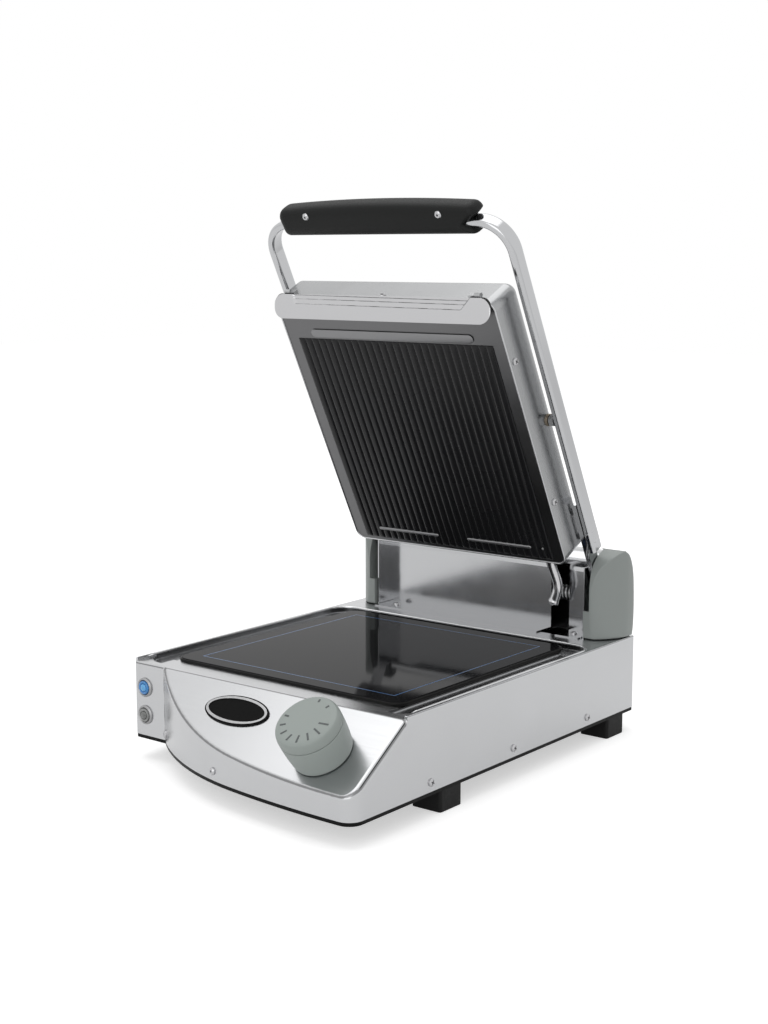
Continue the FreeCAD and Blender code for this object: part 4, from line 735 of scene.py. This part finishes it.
class PRESS_OT_build_covers(bpy.types.Operator):
    """Moulded covers over both ends of the hinge, each with the slot that its lever swings in."""

    bl_idname = "press.build_covers"
    bl_label = "Hinge covers"

    def execute(self, context):
        plastic = context.scene.press_plastic
        material = moulded("cheek_plastic", plastic.cover_colour, 0.40)
        for side, name in ((1, "right"), (-1, "left")):
            mesh = grid_mesh("cheek_" + name, self.shell(side), closed_v=True, closed_shell=True)
            cover = place_piece("cheek_" + name, mesh, material, "base", 60)
            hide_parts("hinge_cover_" + name)
        return {"FINISHED"}

    def shell(self, side):
        """Loops between a front line that stands upright and then bends back and a rear line, both
        meeting at the top. Each loop runs across the front, back along an outer wall whose front corner
        is a superellipse of power 1.5, round the rear corner and along the inner side, which steps out
        round the lever. The crease is averaged soft."""
        front = smooth_line([(179.4, 99.0), (178.9, 112), (178.8, 133.5), (179.3, 153.5), (183.3, 169.5),
                             (191.3, 179.3), (199.5, 184.6), (207.5, 187.2)], 71)
        rear = smooth_line([(226.6, 99.0), (228.2, 108), (229.0, 122), (228.6, 140), (226.8, 161.5),
                            (222.2, 176.0), (215.5, 184.6), (207.5, 187.2)], 71)
        front, rear = self.with_step(front, rear, 126.0)
        rows = len(front)
        lift = 1.2 * (1 - np.sqrt(1 - np.clip(1 - (front[:, 1] - 99) / 1.6, 0, 1) ** 2))
        y0, y1 = front[:, 0] + lift, np.maximum(rear[:, 0] - lift, front[:, 0] + lift)
        depth = y1 - y0
        corner = np.minimum(6.0, 0.48 * depth)
        inner, slot = 133.6, 140.2
        slot_x = np.where(np.arange(rows) >= self.step_row, slot, inner)

        def wall(y):
            q = np.clip((y - 178.8) / 34.0, 0, 1)
            return 141.0 + 24.5 * (1 - (1 - q) ** 1.5) ** (1 / 1.5)

        back = np.linspace(0, 1, 34) ** 1.3
        wall_y = y0[:, None] + (depth - corner)[:, None] * back
        wall_x = wall(wall_y) - lift[:, None]
        across = np.linspace(0, 1, 14)[:-1]
        face_x = slot_x[:, None] + (wall_x[:, :1] - slot_x[:, None]) * across
        face_y = np.broadcast_to(y0[:, None], face_x.shape)
        turn = np.linspace(0, math.pi / 2, 8)[1:]
        rear_x = wall_x[:, -1:] - corner[:, None] * (1 - np.cos(turn))
        rear_y = wall_y[:, -1:] + corner[:, None] * np.sin(turn)
        outer_x = np.concatenate([face_x, wall_x, rear_x], 1)
        outer_y = np.concatenate([face_y, wall_y, rear_y], 1)
        outer_x, outer_y = self.softened(outer_x), self.softened(outer_y)
        step = np.minimum(224.0, y1)
        inner_x = np.stack([np.full(rows, inner), np.full(rows, inner), slot_x], -1)
        inner_y = np.stack([y1, step, step], -1)
        x = np.concatenate([outer_x, inner_x], 1)
        y = np.concatenate([outer_y, inner_y], 1)
        span = np.maximum(rear[:, 0] - front[:, 0], 1e-6)[:, None]
        z = front[:, 1:] + (rear[:, 1:] - front[:, 1:]) * np.clip((y - front[:, :1]) / span, 0, 1)
        return np.stack([side * x, y, z], -1) * MM

    def softened(self, line):
        """Average of each point with its neighbours along the loop, three times over, ends kept."""
        for _ in range(3):
            middle = (line[:, :-2] + 2 * line[:, 1:-1] + line[:, 2:]) / 4
            line = np.concatenate([line[:, :1], middle, line[:, -1:]], 1)
        return line

    def with_step(self, front, rear, height):
        """Double the rows at the slot's lower edge, so that the inner side steps there."""
        self.step_row = int(np.searchsorted(front[:, 1], height)) + 1
        row = self.step_row - 1
        return np.insert(front, row, front[row], 0), np.insert(rear, row, rear[row], 0)


class PRESS_OT_build_flap(bpy.types.Operator):
    """Polished flap across the front of the upper plate, with its folded top and round ends."""

    bl_idname = "press.build_flap"
    bl_label = "Front flap"

    def execute(self, context):
        """Across: x from end to end. Down: between two edges that close in a half round at each end. The face
        is flat, then steps back three times towards its top between slanting ends; each step is also written
        to the crease attribute, so that a painted shade line darkens it."""
        steel = context.scene.press_steel
        half, radius, middle = 130.0, 12.0, 429.3
        steps = (14.8, 19.6, 23.2)
        x = half * closing(181, 1.5)
        v = np.sin(np.linspace(-1, 1, 121) * math.pi / 2)
        over = np.clip((np.abs(x) - (half - radius)) / radius, 0, 1)
        reach = radius * np.sqrt(1 - over ** 2)
        z = middle + reach[:, None] * v
        x = np.broadcast_to(x[:, None], z.shape)
        top = z - 416.0
        slant = np.minimum(x + 106 - 0.4 * (25.6 - top), 108.0 - 0.9 * (25.6 - top) - x)
        folded = smooth_step(slant / 1.0)
        level = top + 0.011 * x
        back = sum(0.7 * smooth_step((level - at) / 0.7) for at in steps)
        # Painted shade: a dark line just above each step and along the right slanting end, kept in the crease
        # attribute.
        painted_step_shade = sum(np.exp(-((level - at - 0.3) / 0.32) ** 2) for at in steps)
        painted_slant_shade = np.exp(-(slant / 0.5) ** 2) * (level > steps[0]) * (x > 0)
        crease = np.clip(folded * painted_step_shade + painted_slant_shade, 0, 1)
        y = 14.6 + folded * back + 1.0 * (1 - np.sqrt(1 - over ** 4))[:, None]
        mesh = grid_mesh("folded_flap", np.stack([x, y, z], -1) * MM)
        shade = mesh.attributes.new("crease", "FLOAT", "POINT")
        shade.data.foreach_set("value", crease.ravel())
        close_shell(mesh)
        face_forwards(mesh)
        shade_lined_steel = polished_steel("flap_steel", steel.flap_colour, 0.2, crease=0.75)
        flap = place_piece("folded_flap", mesh, shade_lined_steel, "flap", 30)
        wall = flap.modifiers.new("sheet", "SOLIDIFY")
        wall.thickness, wall.offset = 1.0 * MM, -1
        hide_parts("front_flap")
        rubber = moulded("flap_washer_rubber", (0.01, 0.01, 0.01), 0.5)
        disc = np.array([[0, 0], [8.6, 0], [9.2, 0.6], [9.2, 1.2], [8.6, 1.8], [0, 1.8]]) * MM
        for side, name in ((-1, "left"), (1, "right")):
            centre = np.array([side * 120.5, 17.9, 432.6]) * MM
            mesh = lathe("flap_washer_" + name, disc, centre, (0, -1, 0), (1, 0, 0), 48)
            place_piece("flap_washer_" + name, mesh, rubber, "flap")
        return {"FINISHED"}


class PRESS_OT_build_ribbed_glass(bpy.types.Operator):
    """Ribbed upper glass and the bars that hold it."""

    bl_idname = "press.build_ribbed_glass"
    bl_label = "Ribbed glass"

    def execute(self, context):
        """Height field: each rib is 1 minus the power 3.2 of the distance from its crest, and all of them
        fall away over the last millimetres at both ends; the outermost rows drop to the frame."""
        glass = context.scene.press_glass
        steel = context.scene.press_steel
        count, first, last, foot = 28, 70.5, 312.0, 35.2
        u = np.linspace(0, count, count * 16 + 1)
        v = np.concatenate([[0, 0, 0.0008, 0.003, 0.008, 0.015], np.linspace(0.03, 0.97, 40),
                            [0.985, 0.992, 0.997, 0.9992, 1, 1]])
        crest = 1 - np.abs(2 * (u % 1) - 1) ** 3.2
        reach = first + (last - first) * v
        end = np.clip(np.minimum(reach - first, last - reach) / 5.0, 0, 1)
        ends = np.sqrt(1 - (1 - end) ** 2)
        below = 36.4 + 1.15 * crest[:, None] * ends[None, :]
        below[:, 0] = below[:, -1] = foot
        below[0, :] = below[-1, :] = foot
        x = np.broadcast_to((118.0 * (2 * u / count - 1))[:, None], below.shape)
        points = lid_place(x * MM, np.broadcast_to(reach, below.shape) * MM, below * MM)
        mesh = grid_mesh("ribbed_glass", points, closed_shell=True)
        face_forwards(mesh)
        ceramic = glass_ceramic("ribbed_glass_ceramic", glass.glass_colour, glass.glass_roughness + 0.2, 0.22)
        piece = place_piece("ribbed_glass", mesh, ceramic, "upper_plate", 60)
        wall = piece.modifiers.new("plate", "SOLIDIFY")
        wall.thickness, wall.offset = 0.6 * MM, -1
        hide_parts("upper_glass")
        bars = [self.bar("front", -98, 98, 318.5, 4.4, 0.7), self.bar("rear_left", -96, -18, 83.5, 1.8),
                self.bar("rear_right", 18, 96, 83.5, 1.8), self.bar("stud", 108, 110.6, 83.5, 1.5)]
        bar = place_piece("retainer_bars", joined_mesh("retainer_bars", bars),
                          plated("retainer_plate", steel.retainer_colour, 0.42), "upper_plate")
        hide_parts("glass_retainers")
        return {"FINISHED"}

    def bar(self, name, x0, x1, reach, half, height=1.5):
        """Half-round bar: half an ellipse carried in x, closing over a quarter round at each end."""
        x = (x0 + x1) / 2 + (x1 - x0) / 2 * closing(41, 2)
        end = np.clip(np.minimum(x - x0, x1 - x) / half, 0, 1)
        size = np.sqrt(1 - (1 - end) ** 2)
        turn = full_turn(32)
        along = reach + half * size[:, None] * np.cos(turn)
        rise = np.sin(turn) * np.where(np.sin(turn) > 0, height, 1.0)
        below = 37.0 + size[:, None] * rise
        x = np.broadcast_to(x[:, None], along.shape)
        return grid_mesh("bar_" + name, lid_place(x * MM, along * MM, below * MM), closed_v=True,
                         closed_shell=True)


class PRESS_OT_build_beads(bpy.types.Operator):
    """Black bead round the lower glass, rolled edge of the drip gutter and polished lip round the upper
    plate."""

    bl_idname = "press.build_beads"
    bl_label = "Beads and lips"

    def execute(self, context):
        """A small circle or ellipse carried round a rectangle with quarter-round corners."""
        steel = context.scene.press_steel
        low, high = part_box("lower_glass")
        turn = full_turn(20)
        line, out = self.rounded_rectangle(high.x / MM + 0.8, low.y / MM - 0.8, high.y / MM + 0.8, 14.8)
        ring = self.ring(line, out, 1.1, turn)
        z = np.broadcast_to(95.6 + 1.9 * np.sin(turn), ring.shape[:2])
        points = np.dstack([ring, z]) * MM
        mesh = grid_mesh("glass_bead", points, closed_u=True, closed_v=True, closed_shell=True)
        silicone = moulded("bead_silicone", (0.004, 0.004, 0.004), 0.45, gloss=0.15)
        place_piece("glass_bead", mesh, silicone, "base")
        line, out = self.rounded_rectangle(131.3, 66.7, 356.8, 9.4)
        ring = self.ring(line, out, 0.8, turn)
        points = lid_place(ring[..., 0] * MM, ring[..., 1] * MM, (36.1 + 0.8 * np.sin(turn))[None, :] * MM)
        mesh = grid_mesh("plate_lip", points, closed_u=True, closed_v=True, closed_shell=True)
        bright = polished_steel("lip_steel", steel.polished_colour, 0.15)
        place_piece("plate_lip", mesh, bright, "upper_plate")
        self.gutter_edge(turn, steel)
        return {"FINISHED"}

    def gutter_edge(self, turn, steel):
        """The same small circle carried up one side, round the back and down the other, closing to a
        point at both ends."""
        low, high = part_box("lower_glass")
        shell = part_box("base_shell")[1]
        x, back, start, radius = shell.x / MM - 5.2, high.y / MM + 10.8, low.y / MM - 15.0, 21.8
        corners, corners_out = [part[:26] for part in self.rounded_rectangle(x, start, back, radius)]
        side = np.linspace(start, back - radius, 30)[:-1]
        right = np.stack([np.full(29, x), side], -1)
        line = np.concatenate([right, corners, right[::-1] * (-1, 1)])
        out = np.concatenate([np.tile([1.0, 0.0], (29, 1)), corners_out, np.tile([-1.0, 0.0], (29, 1))])
        size = 1.15 * np.sqrt(1 - np.linspace(-1, 1, len(line)) ** 60)[:, None]
        z = 97.5 + size * np.sin(turn)
        mesh = grid_mesh("gutter_edge", np.dstack([self.ring(line, out, size, turn), z]) * MM, closed_v=True,
                         closed_shell=True)
        place_piece("gutter_edge", mesh, polished_steel("gutter_edge_steel", steel.edge_colour, 0.12), "base")

    def ring(self, line, out, size, turn):
        """Outline moved out and in by the cosine of each angle, times a size."""
        return line[:, None, :] + out[:, None, :] * (size * np.cos(turn)).reshape(-1, len(turn), 1)

    def rounded_rectangle(self, x, y0, y1, radius):
        """Points of the outline and the outward direction at each: a quarter circle about each corner's
        centre."""
        quarter = np.linspace(0, math.pi / 2, 13)
        turn = np.concatenate([quarter + start * math.pi / 2 for start in range(4)])
        out = np.stack([np.cos(turn), np.sin(turn)], -1)
        cx = np.repeat([x - radius, radius - x, radius - x, x - radius], 13)
        cy = np.repeat([y1 - radius, y1 - radius, y0 + radius, y0 + radius], 13)
        return np.stack([cx, cy], -1) + radius * out, out


class PRESS_OT_build_conduit(bpy.types.Operator):
    """Flattened chromed conduit that goes from the upper plate into the tower."""

    bl_idname = "press.build_conduit"
    bl_label = "Conduit"

    def execute(self, context):
        """An ellipse carried along a smooth line, square to it, with a bead at its lower end."""
        steel = context.scene.press_steel
        path = smooth_line([(92.0, 178.0, 193.0), (90.8, 181.0, 183.0), (91.6, 185.0, 168.0),
                            (96.6, 187.6, 152.0), (97.6, 188.0, 144.0), (95.0, 188.0, 135.0),
                            (91.5, 188.0, 126.0)], 81)
        tangent = np.gradient(path, axis=0)
        tangent /= np.linalg.norm(tangent, axis=1, keepdims=True)
        broad = np.cross(tangent, (0.0, 1.0, 0.0))
        broad /= np.linalg.norm(broad, axis=1, keepdims=True)
        narrow = np.cross(broad, tangent)
        t = np.linspace(0, 1, 81)
        swell = 1 + 0.16 * np.exp(-((t - 0.93) / 0.03) ** 2) - 0.22 * smooth_step((t - 0.96) / 0.04)
        close = np.sqrt(1 - np.abs(2 * t - 1) ** 60)
        turn = full_turn(40)
        wide = (5.0 * swell * close)[:, None, None] * broad[:, None, :] * np.cos(turn)[None, :, None]
        thin = (4.4 * swell * close)[:, None, None] * narrow[:, None, :] * np.sin(turn)[None, :, None]
        mesh = grid_mesh("conduit", (path[:, None, :] + wide + thin) * MM, closed_v=True, closed_shell=True)
        chrome = plated("conduit_chrome", steel.chrome_colour, 0.1)
        pipe = place_piece("conduit", mesh, chrome, "upper_plate")
        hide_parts("conduit_elbow")
        return {"FINISHED"}


class PRESS_OT_build_lamp_lenses(bpy.types.Operator):
    """Turned lenses of the two pilot lamps."""

    bl_idname = "press.build_lamp_lenses"
    bl_label = "Lamp lenses"

    def execute(self, context):
        """Each lens is a rim, a groove and a dome, turned from one profile; the dome is a piece of its
        own."""
        plastic = context.scene.press_plastic
        rim = np.array([[3.9, -4.0], [6.4, -4.0], [6.4, 2.4], [6.0, 3.0], [5.1, 3.3], [4.3, 2.9], [3.9, 2.2],
                        [3.9, -4.0]])
        turn = np.linspace(0, math.pi / 2, 12)
        dome = np.stack([3.8 * np.cos(turn), 2.2 + 1.9 * np.sin(turn)], -1)
        dome = np.vstack([[[0, -3.0], [3.8, -3.0]], dome])
        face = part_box("power_lamp_bezel")[1].y
        kinds = (("power_lamp", "lens_blue", plastic.lens_blue, plastic.lens_blue_core),
                 ("heating_lamp", "lens_grey", plastic.lens_grey, plastic.lens_grey_core))
        for lamp, slot, *colours in kinds:
            low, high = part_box(lamp + "_lens")
            centre = np.array([(low.x + high.x) / 2, face, (low.z + high.z) / 2])
            for part, profile, colour in zip(("_rim", "_dome"), (rim, dome), colours):
                mesh = lathe(lamp + part, profile * MM, centre, (0, -1, 0), (1, 0, 0), 64)
                clear = lamp_plastic(lamp + part + "_lens", colour)
                lens = place_piece(lamp + part, mesh, clear, "base")
                if part == "_rim":
                    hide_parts(lamp + "_lens")
        return {"FINISHED"}


class PRESS_OT_build_screw_recesses(bpy.types.Operator):
    """Dark crosses over the screw heads that show: a painted shadow for their cross recesses."""

    bl_idname = "press.build_screw_recesses"
    bl_label = "Screw recesses"

    def execute(self, context):
        """Two crossed bars lie over each head: the outline of a cross in the head's plane, given a little
        thickness."""
        # Painted shadow: near-black crosses stand in for the shade inside the screw heads' cross recesses.
        ink = moulded("recess_shadow", (0.03, 0.03, 0.032), 0.6)
        low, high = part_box("base_shell")
        edge = low.y / MM + PANEL_BACK
        level = low.z / MM + 8.4
        side = high.x / MM
        body = [((s * side, edge + back, level), (s, 0, 0)) for s in (1, -1) for back in (34, 161, 290)]
        body += [((s * 99.3, high.y / MM, level), (0, 1, 0)) for s in (1, -1)]
        self.crosses("body_recesses", body, ink, "base")
        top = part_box("tower_screws")[1].z / MM - 2.0
        tower = [((x, 190.5, top), (0, 0, 1)) for x in (-112, 116)]
        self.crosses("tower_recesses", tower, ink, "base")
        casing = []
        for reach in (136.0, 292.0):
            spot = lid_place(0.0, reach * MM, 28.8 * MM) / MM
            casing += [((s * 132.0, spot[1], spot[2]), (s, 0, 0)) for s in (1, -1)]
        front = lid_place(0.0, 357.5 * MM, 28.8 * MM) / MM
        casing.append(((0, front[1], front[2]), (0, -math.cos(LID_OPEN), math.sin(LID_OPEN))))
        self.crosses("casing_recesses", casing, ink, "upper_plate")
        grip = []
        for x in (-79, 79):
            spot = lid_place(0.0, 432.5 * MM, 12.2 * MM) / MM
            grip.append(((x, spot[1], spot[2]), (0, -math.sin(LID_OPEN), -math.cos(LID_OPEN))))
        self.heads("grip_screw_heads", grip, context.scene.press_steel, "arms")
        self.crosses("grip_recesses", grip, ink, "arms", 0.55)
        return {"FINISHED"}

    def crosses(self, name, places, material, body, rise=1.97):
        """The outline of a cross, turned a little in each head's plane and laid at two heights, with
        sides and caps."""
        arm, half, turn, sunk, proud = 2.3, 0.42, math.radians(25), 0.15, 0.08
        outline = np.array([(arm, -half), (arm, half), (half, half), (half, arm),
                            (-half, arm), (-half, half), (-arm, half), (-arm, -half),
                            (-half, -half), (-half, -arm), (half, -arm), (half, -half)])
        outline = outline @ [[math.cos(turn), math.sin(turn)], [-math.sin(turn), math.cos(turn)]]
        middle, out = [np.array(column, float)[:, None, None] for column in zip(*places)]
        side = np.cross(out, np.where(np.abs(out[..., 2:]) < 0.9, (0, 0, 1), (0, 1, 0)))
        side /= np.linalg.norm(side, axis=-1, keepdims=True)
        up = np.cross(side, out)
        level = np.array([rise - sunk, rise + proud])[:, None, None]
        points = middle + outline[:, :1] * side + outline[:, 1:] * up + level * out
        start = 24 * np.arange(len(places))[:, None, None]
        at = np.arange(12)
        ahead = (at + 1) % 12
        sides = (start + np.stack([at, ahead, ahead + 12, at + 12], -1)).reshape(-1, 4)
        caps = (start + np.stack([at[::-1], at + 12])).reshape(-1, 12)
        mesh = bpy.data.meshes.new(name)
        mesh.from_pydata((points.reshape(-1, 3) * MM).tolist(), [], caps.tolist() + sides.tolist())
        close_shell(mesh)
        place_piece(name, mesh, material, body)

    def heads(self, name, places, steel, body):
        """Low domed heads turned from one profile."""
        turn = np.linspace(0, math.pi / 2, 8)
        profile = np.vstack([[[0, -0.6]], np.stack([3.4 * np.cos(turn), 0.62 * np.sin(turn)], -1)]) * MM
        meshes = [lathe(name + str(i), profile, np.array(place) * MM, out, (1, 0, 0), 40)
                  for i, (place, out) in enumerate(places)]
        zinc = plated("grip_screw_zinc", steel.retainer_colour, 0.3)
        place_piece(name, joined_mesh(name, meshes), zinc, body)


class PRESS_OT_build_stage(bpy.types.Operator):
    """White floor, even world light, softbox, fill light and the camera."""

    bl_idname = "press.build_stage"
    bl_label = "Stage"

    def execute(self, context):
        stage = context.scene.press_stage
        low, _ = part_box("base_shell")
        anchor = Vector((0, low.y + PANEL_BACK * MM, 0))
        self.make_floor()
        self.make_world(context, stage)
        self.make_lamp("softbox", (-0.58, 0.15, 2.9), (0, 0, 0.2), 2.7, stage.key_power)
        self.make_lamp("front_fill", (0.9, -2.8, 1.3), (0, 0, 0.15), 2.2, stage.fill_power)
        camera = bpy.data.objects.new("camera", bpy.data.cameras.new("camera"))
        context.scene.collection.objects.link(camera)
        camera.data.sensor_width = 36
        camera.data.lens = stage.lens
        camera.location = anchor + Vector(stage.camera_place)
        turn, tilt = stage.camera_azimuth, stage.camera_pitch
        forward = Vector((-math.sin(turn) * math.cos(tilt), math.cos(turn) * math.cos(tilt), -math.sin(tilt)))
        camera.rotation_euler = forward.to_track_quat("-Z", "Y").to_euler()
        camera.data.clip_start, camera.data.clip_end = 0.05, 50
        context.scene.camera = camera
        context.scene.view_settings.view_transform = "Standard"
        return {"FINISHED"}

    def make_floor(self):
        """White square: a diffuse sheet that takes the shadow, with a glow that seen and mirrored rays
        alone get."""
        size = 6.0
        mesh = bpy.data.meshes.new("floor")
        corners = [(-size, -size, 0), (size, -size, 0), (size, size, 0), (-size, size, 0)]
        mesh.from_pydata(corners, [], [(0, 1, 2, 3)])
        floor = bpy.data.objects.new("floor", mesh)
        bpy.context.scene.collection.objects.link(floor)
        material = bpy.data.materials.new("floor_white")
        material.use_nodes = True
        tree = material.node_tree
        tree.nodes.clear()
        path = add_node(tree, "LightPath", {}).outputs
        mirrored = math_node(tree, "MULTIPLY", seen_rays(tree, path), 0.28)
        glow = add_node(tree, "Math", {0: path["Is Camera Ray"], 1: 0.24, 2: mirrored},
                        operation="MULTIPLY_ADD")
        light = add_node(tree, "Emission", {"Strength": glow.outputs["Value"]}).outputs["Emission"]
        sheet = add_node(tree, "BsdfDiffuse", {"Color": (0.82, 0.82, 0.82, 1)}).outputs["BSDF"]
        both = add_node(tree, "AddShader", {0: sheet, 1: light}).outputs["Shader"]
        add_node(tree, "OutputMaterial", {"Surface": both})
        mesh.materials.append(material)

    def make_world(self, context, stage):
        """Even light from all round, white where it is seen or mirrored."""
        world = bpy.data.worlds.new("studio")
        context.scene.world = world
        world.use_nodes = True
        tree = world.node_tree
        tree.nodes.clear()
        even, white = [add_node(tree, "Background", {"Color": (1, 1, 1, 1), "Strength": strength}).outputs[0]
                       for strength in (stage.world_light, 1.0)]
        seen = seen_rays(tree, add_node(tree, "LightPath", {}).outputs)
        mix = add_node(tree, "MixShader", {"Fac": seen, 1: even, 2: white}).outputs["Shader"]
        add_node(tree, "OutputWorld", {"Surface": mix})

    def make_lamp(self, name, place, target, size, power):
        """Square lamp at a place, turned to a target."""
        data = bpy.data.lights.new(name, "AREA")
        data.shape = "SQUARE"
        data.size = size
        data.energy = power
        lamp = bpy.data.objects.new(name, data)
        lamp.location = place
        lamp.rotation_euler = (Vector(target) - Vector(place)).to_track_quat("-Z", "Y").to_euler()
        bpy.context.scene.collection.objects.link(lamp)


def seen_rays(tree, path):
    """1 for rays from the camera, off gloss or through glass, else 0."""
    first = math_node(tree, "ADD", path["Is Camera Ray"], path["Is Glossy Ray"])
    both = add_node(tree, "Math", {0: first, 1: path["Is Transmission Ray"]}, operation="ADD", use_clamp=True)
    return both.outputs["Value"]


OPERATORS = (
    PRESS_OT_finish_steel,
    PRESS_OT_finish_plastic,
    PRESS_OT_finish_glass,
    PRESS_OT_add_printed_line,
    PRESS_OT_build_dial,
    PRESS_OT_build_grip,
    PRESS_OT_build_arm_ends,
    PRESS_OT_build_covers,
    PRESS_OT_build_flap,
    PRESS_OT_build_ribbed_glass,
    PRESS_OT_build_beads,
    PRESS_OT_build_conduit,
    PRESS_OT_build_lamp_lenses,
    PRESS_OT_build_screw_recesses,
    PRESS_OT_build_stage,
)
SETTINGS = {
    "press_steel": PressSteelSettings,
    "press_plastic": PressPlasticSettings,
    "press_glass": PressGlassSettings,
    "press_dial": PressDialSettings,
    "press_stage": PressStageSettings,
}


class PRESS_PT_panel(bpy.types.Panel):
    """Sidebar panel with the press's settings and steps."""

    bl_idname = "PRESS_PT_panel"
    bl_label = "Panini press"
    bl_space_type = "VIEW_3D"
    bl_region_type = "UI"
    bl_category = "Press"

    def draw(self, context):
        for name, group in SETTINGS.items():
            box = self.layout.box()
            box.label(text=group.__doc__)
            for key in group.__annotations__:
                box.prop(getattr(context.scene, name), key)
        for operator in OPERATORS:
            self.layout.operator(operator.bl_idname)


def register():
    for group in SETTINGS.values():
        bpy.utils.register_class(group)
    for name, group in SETTINGS.items():
        setattr(bpy.types.Scene, name, PointerProperty(type=group))
    for operator in OPERATORS:
        bpy.utils.register_class(operator)
    bpy.utils.register_class(PRESS_PT_panel)


def unregister():
    bpy.utils.unregister_class(PRESS_PT_panel)
    for operator in reversed(OPERATORS):
        bpy.utils.unregister_class(operator)
    for name, group in SETTINGS.items():
        delattr(bpy.types.Scene, name)
        bpy.utils.unregister_class(group)


def main():
    register()
    for operator in OPERATORS:
        getattr(bpy.ops.press, operator.bl_idname.split(".")[1])()


if __name__ == "__main__":
    main()
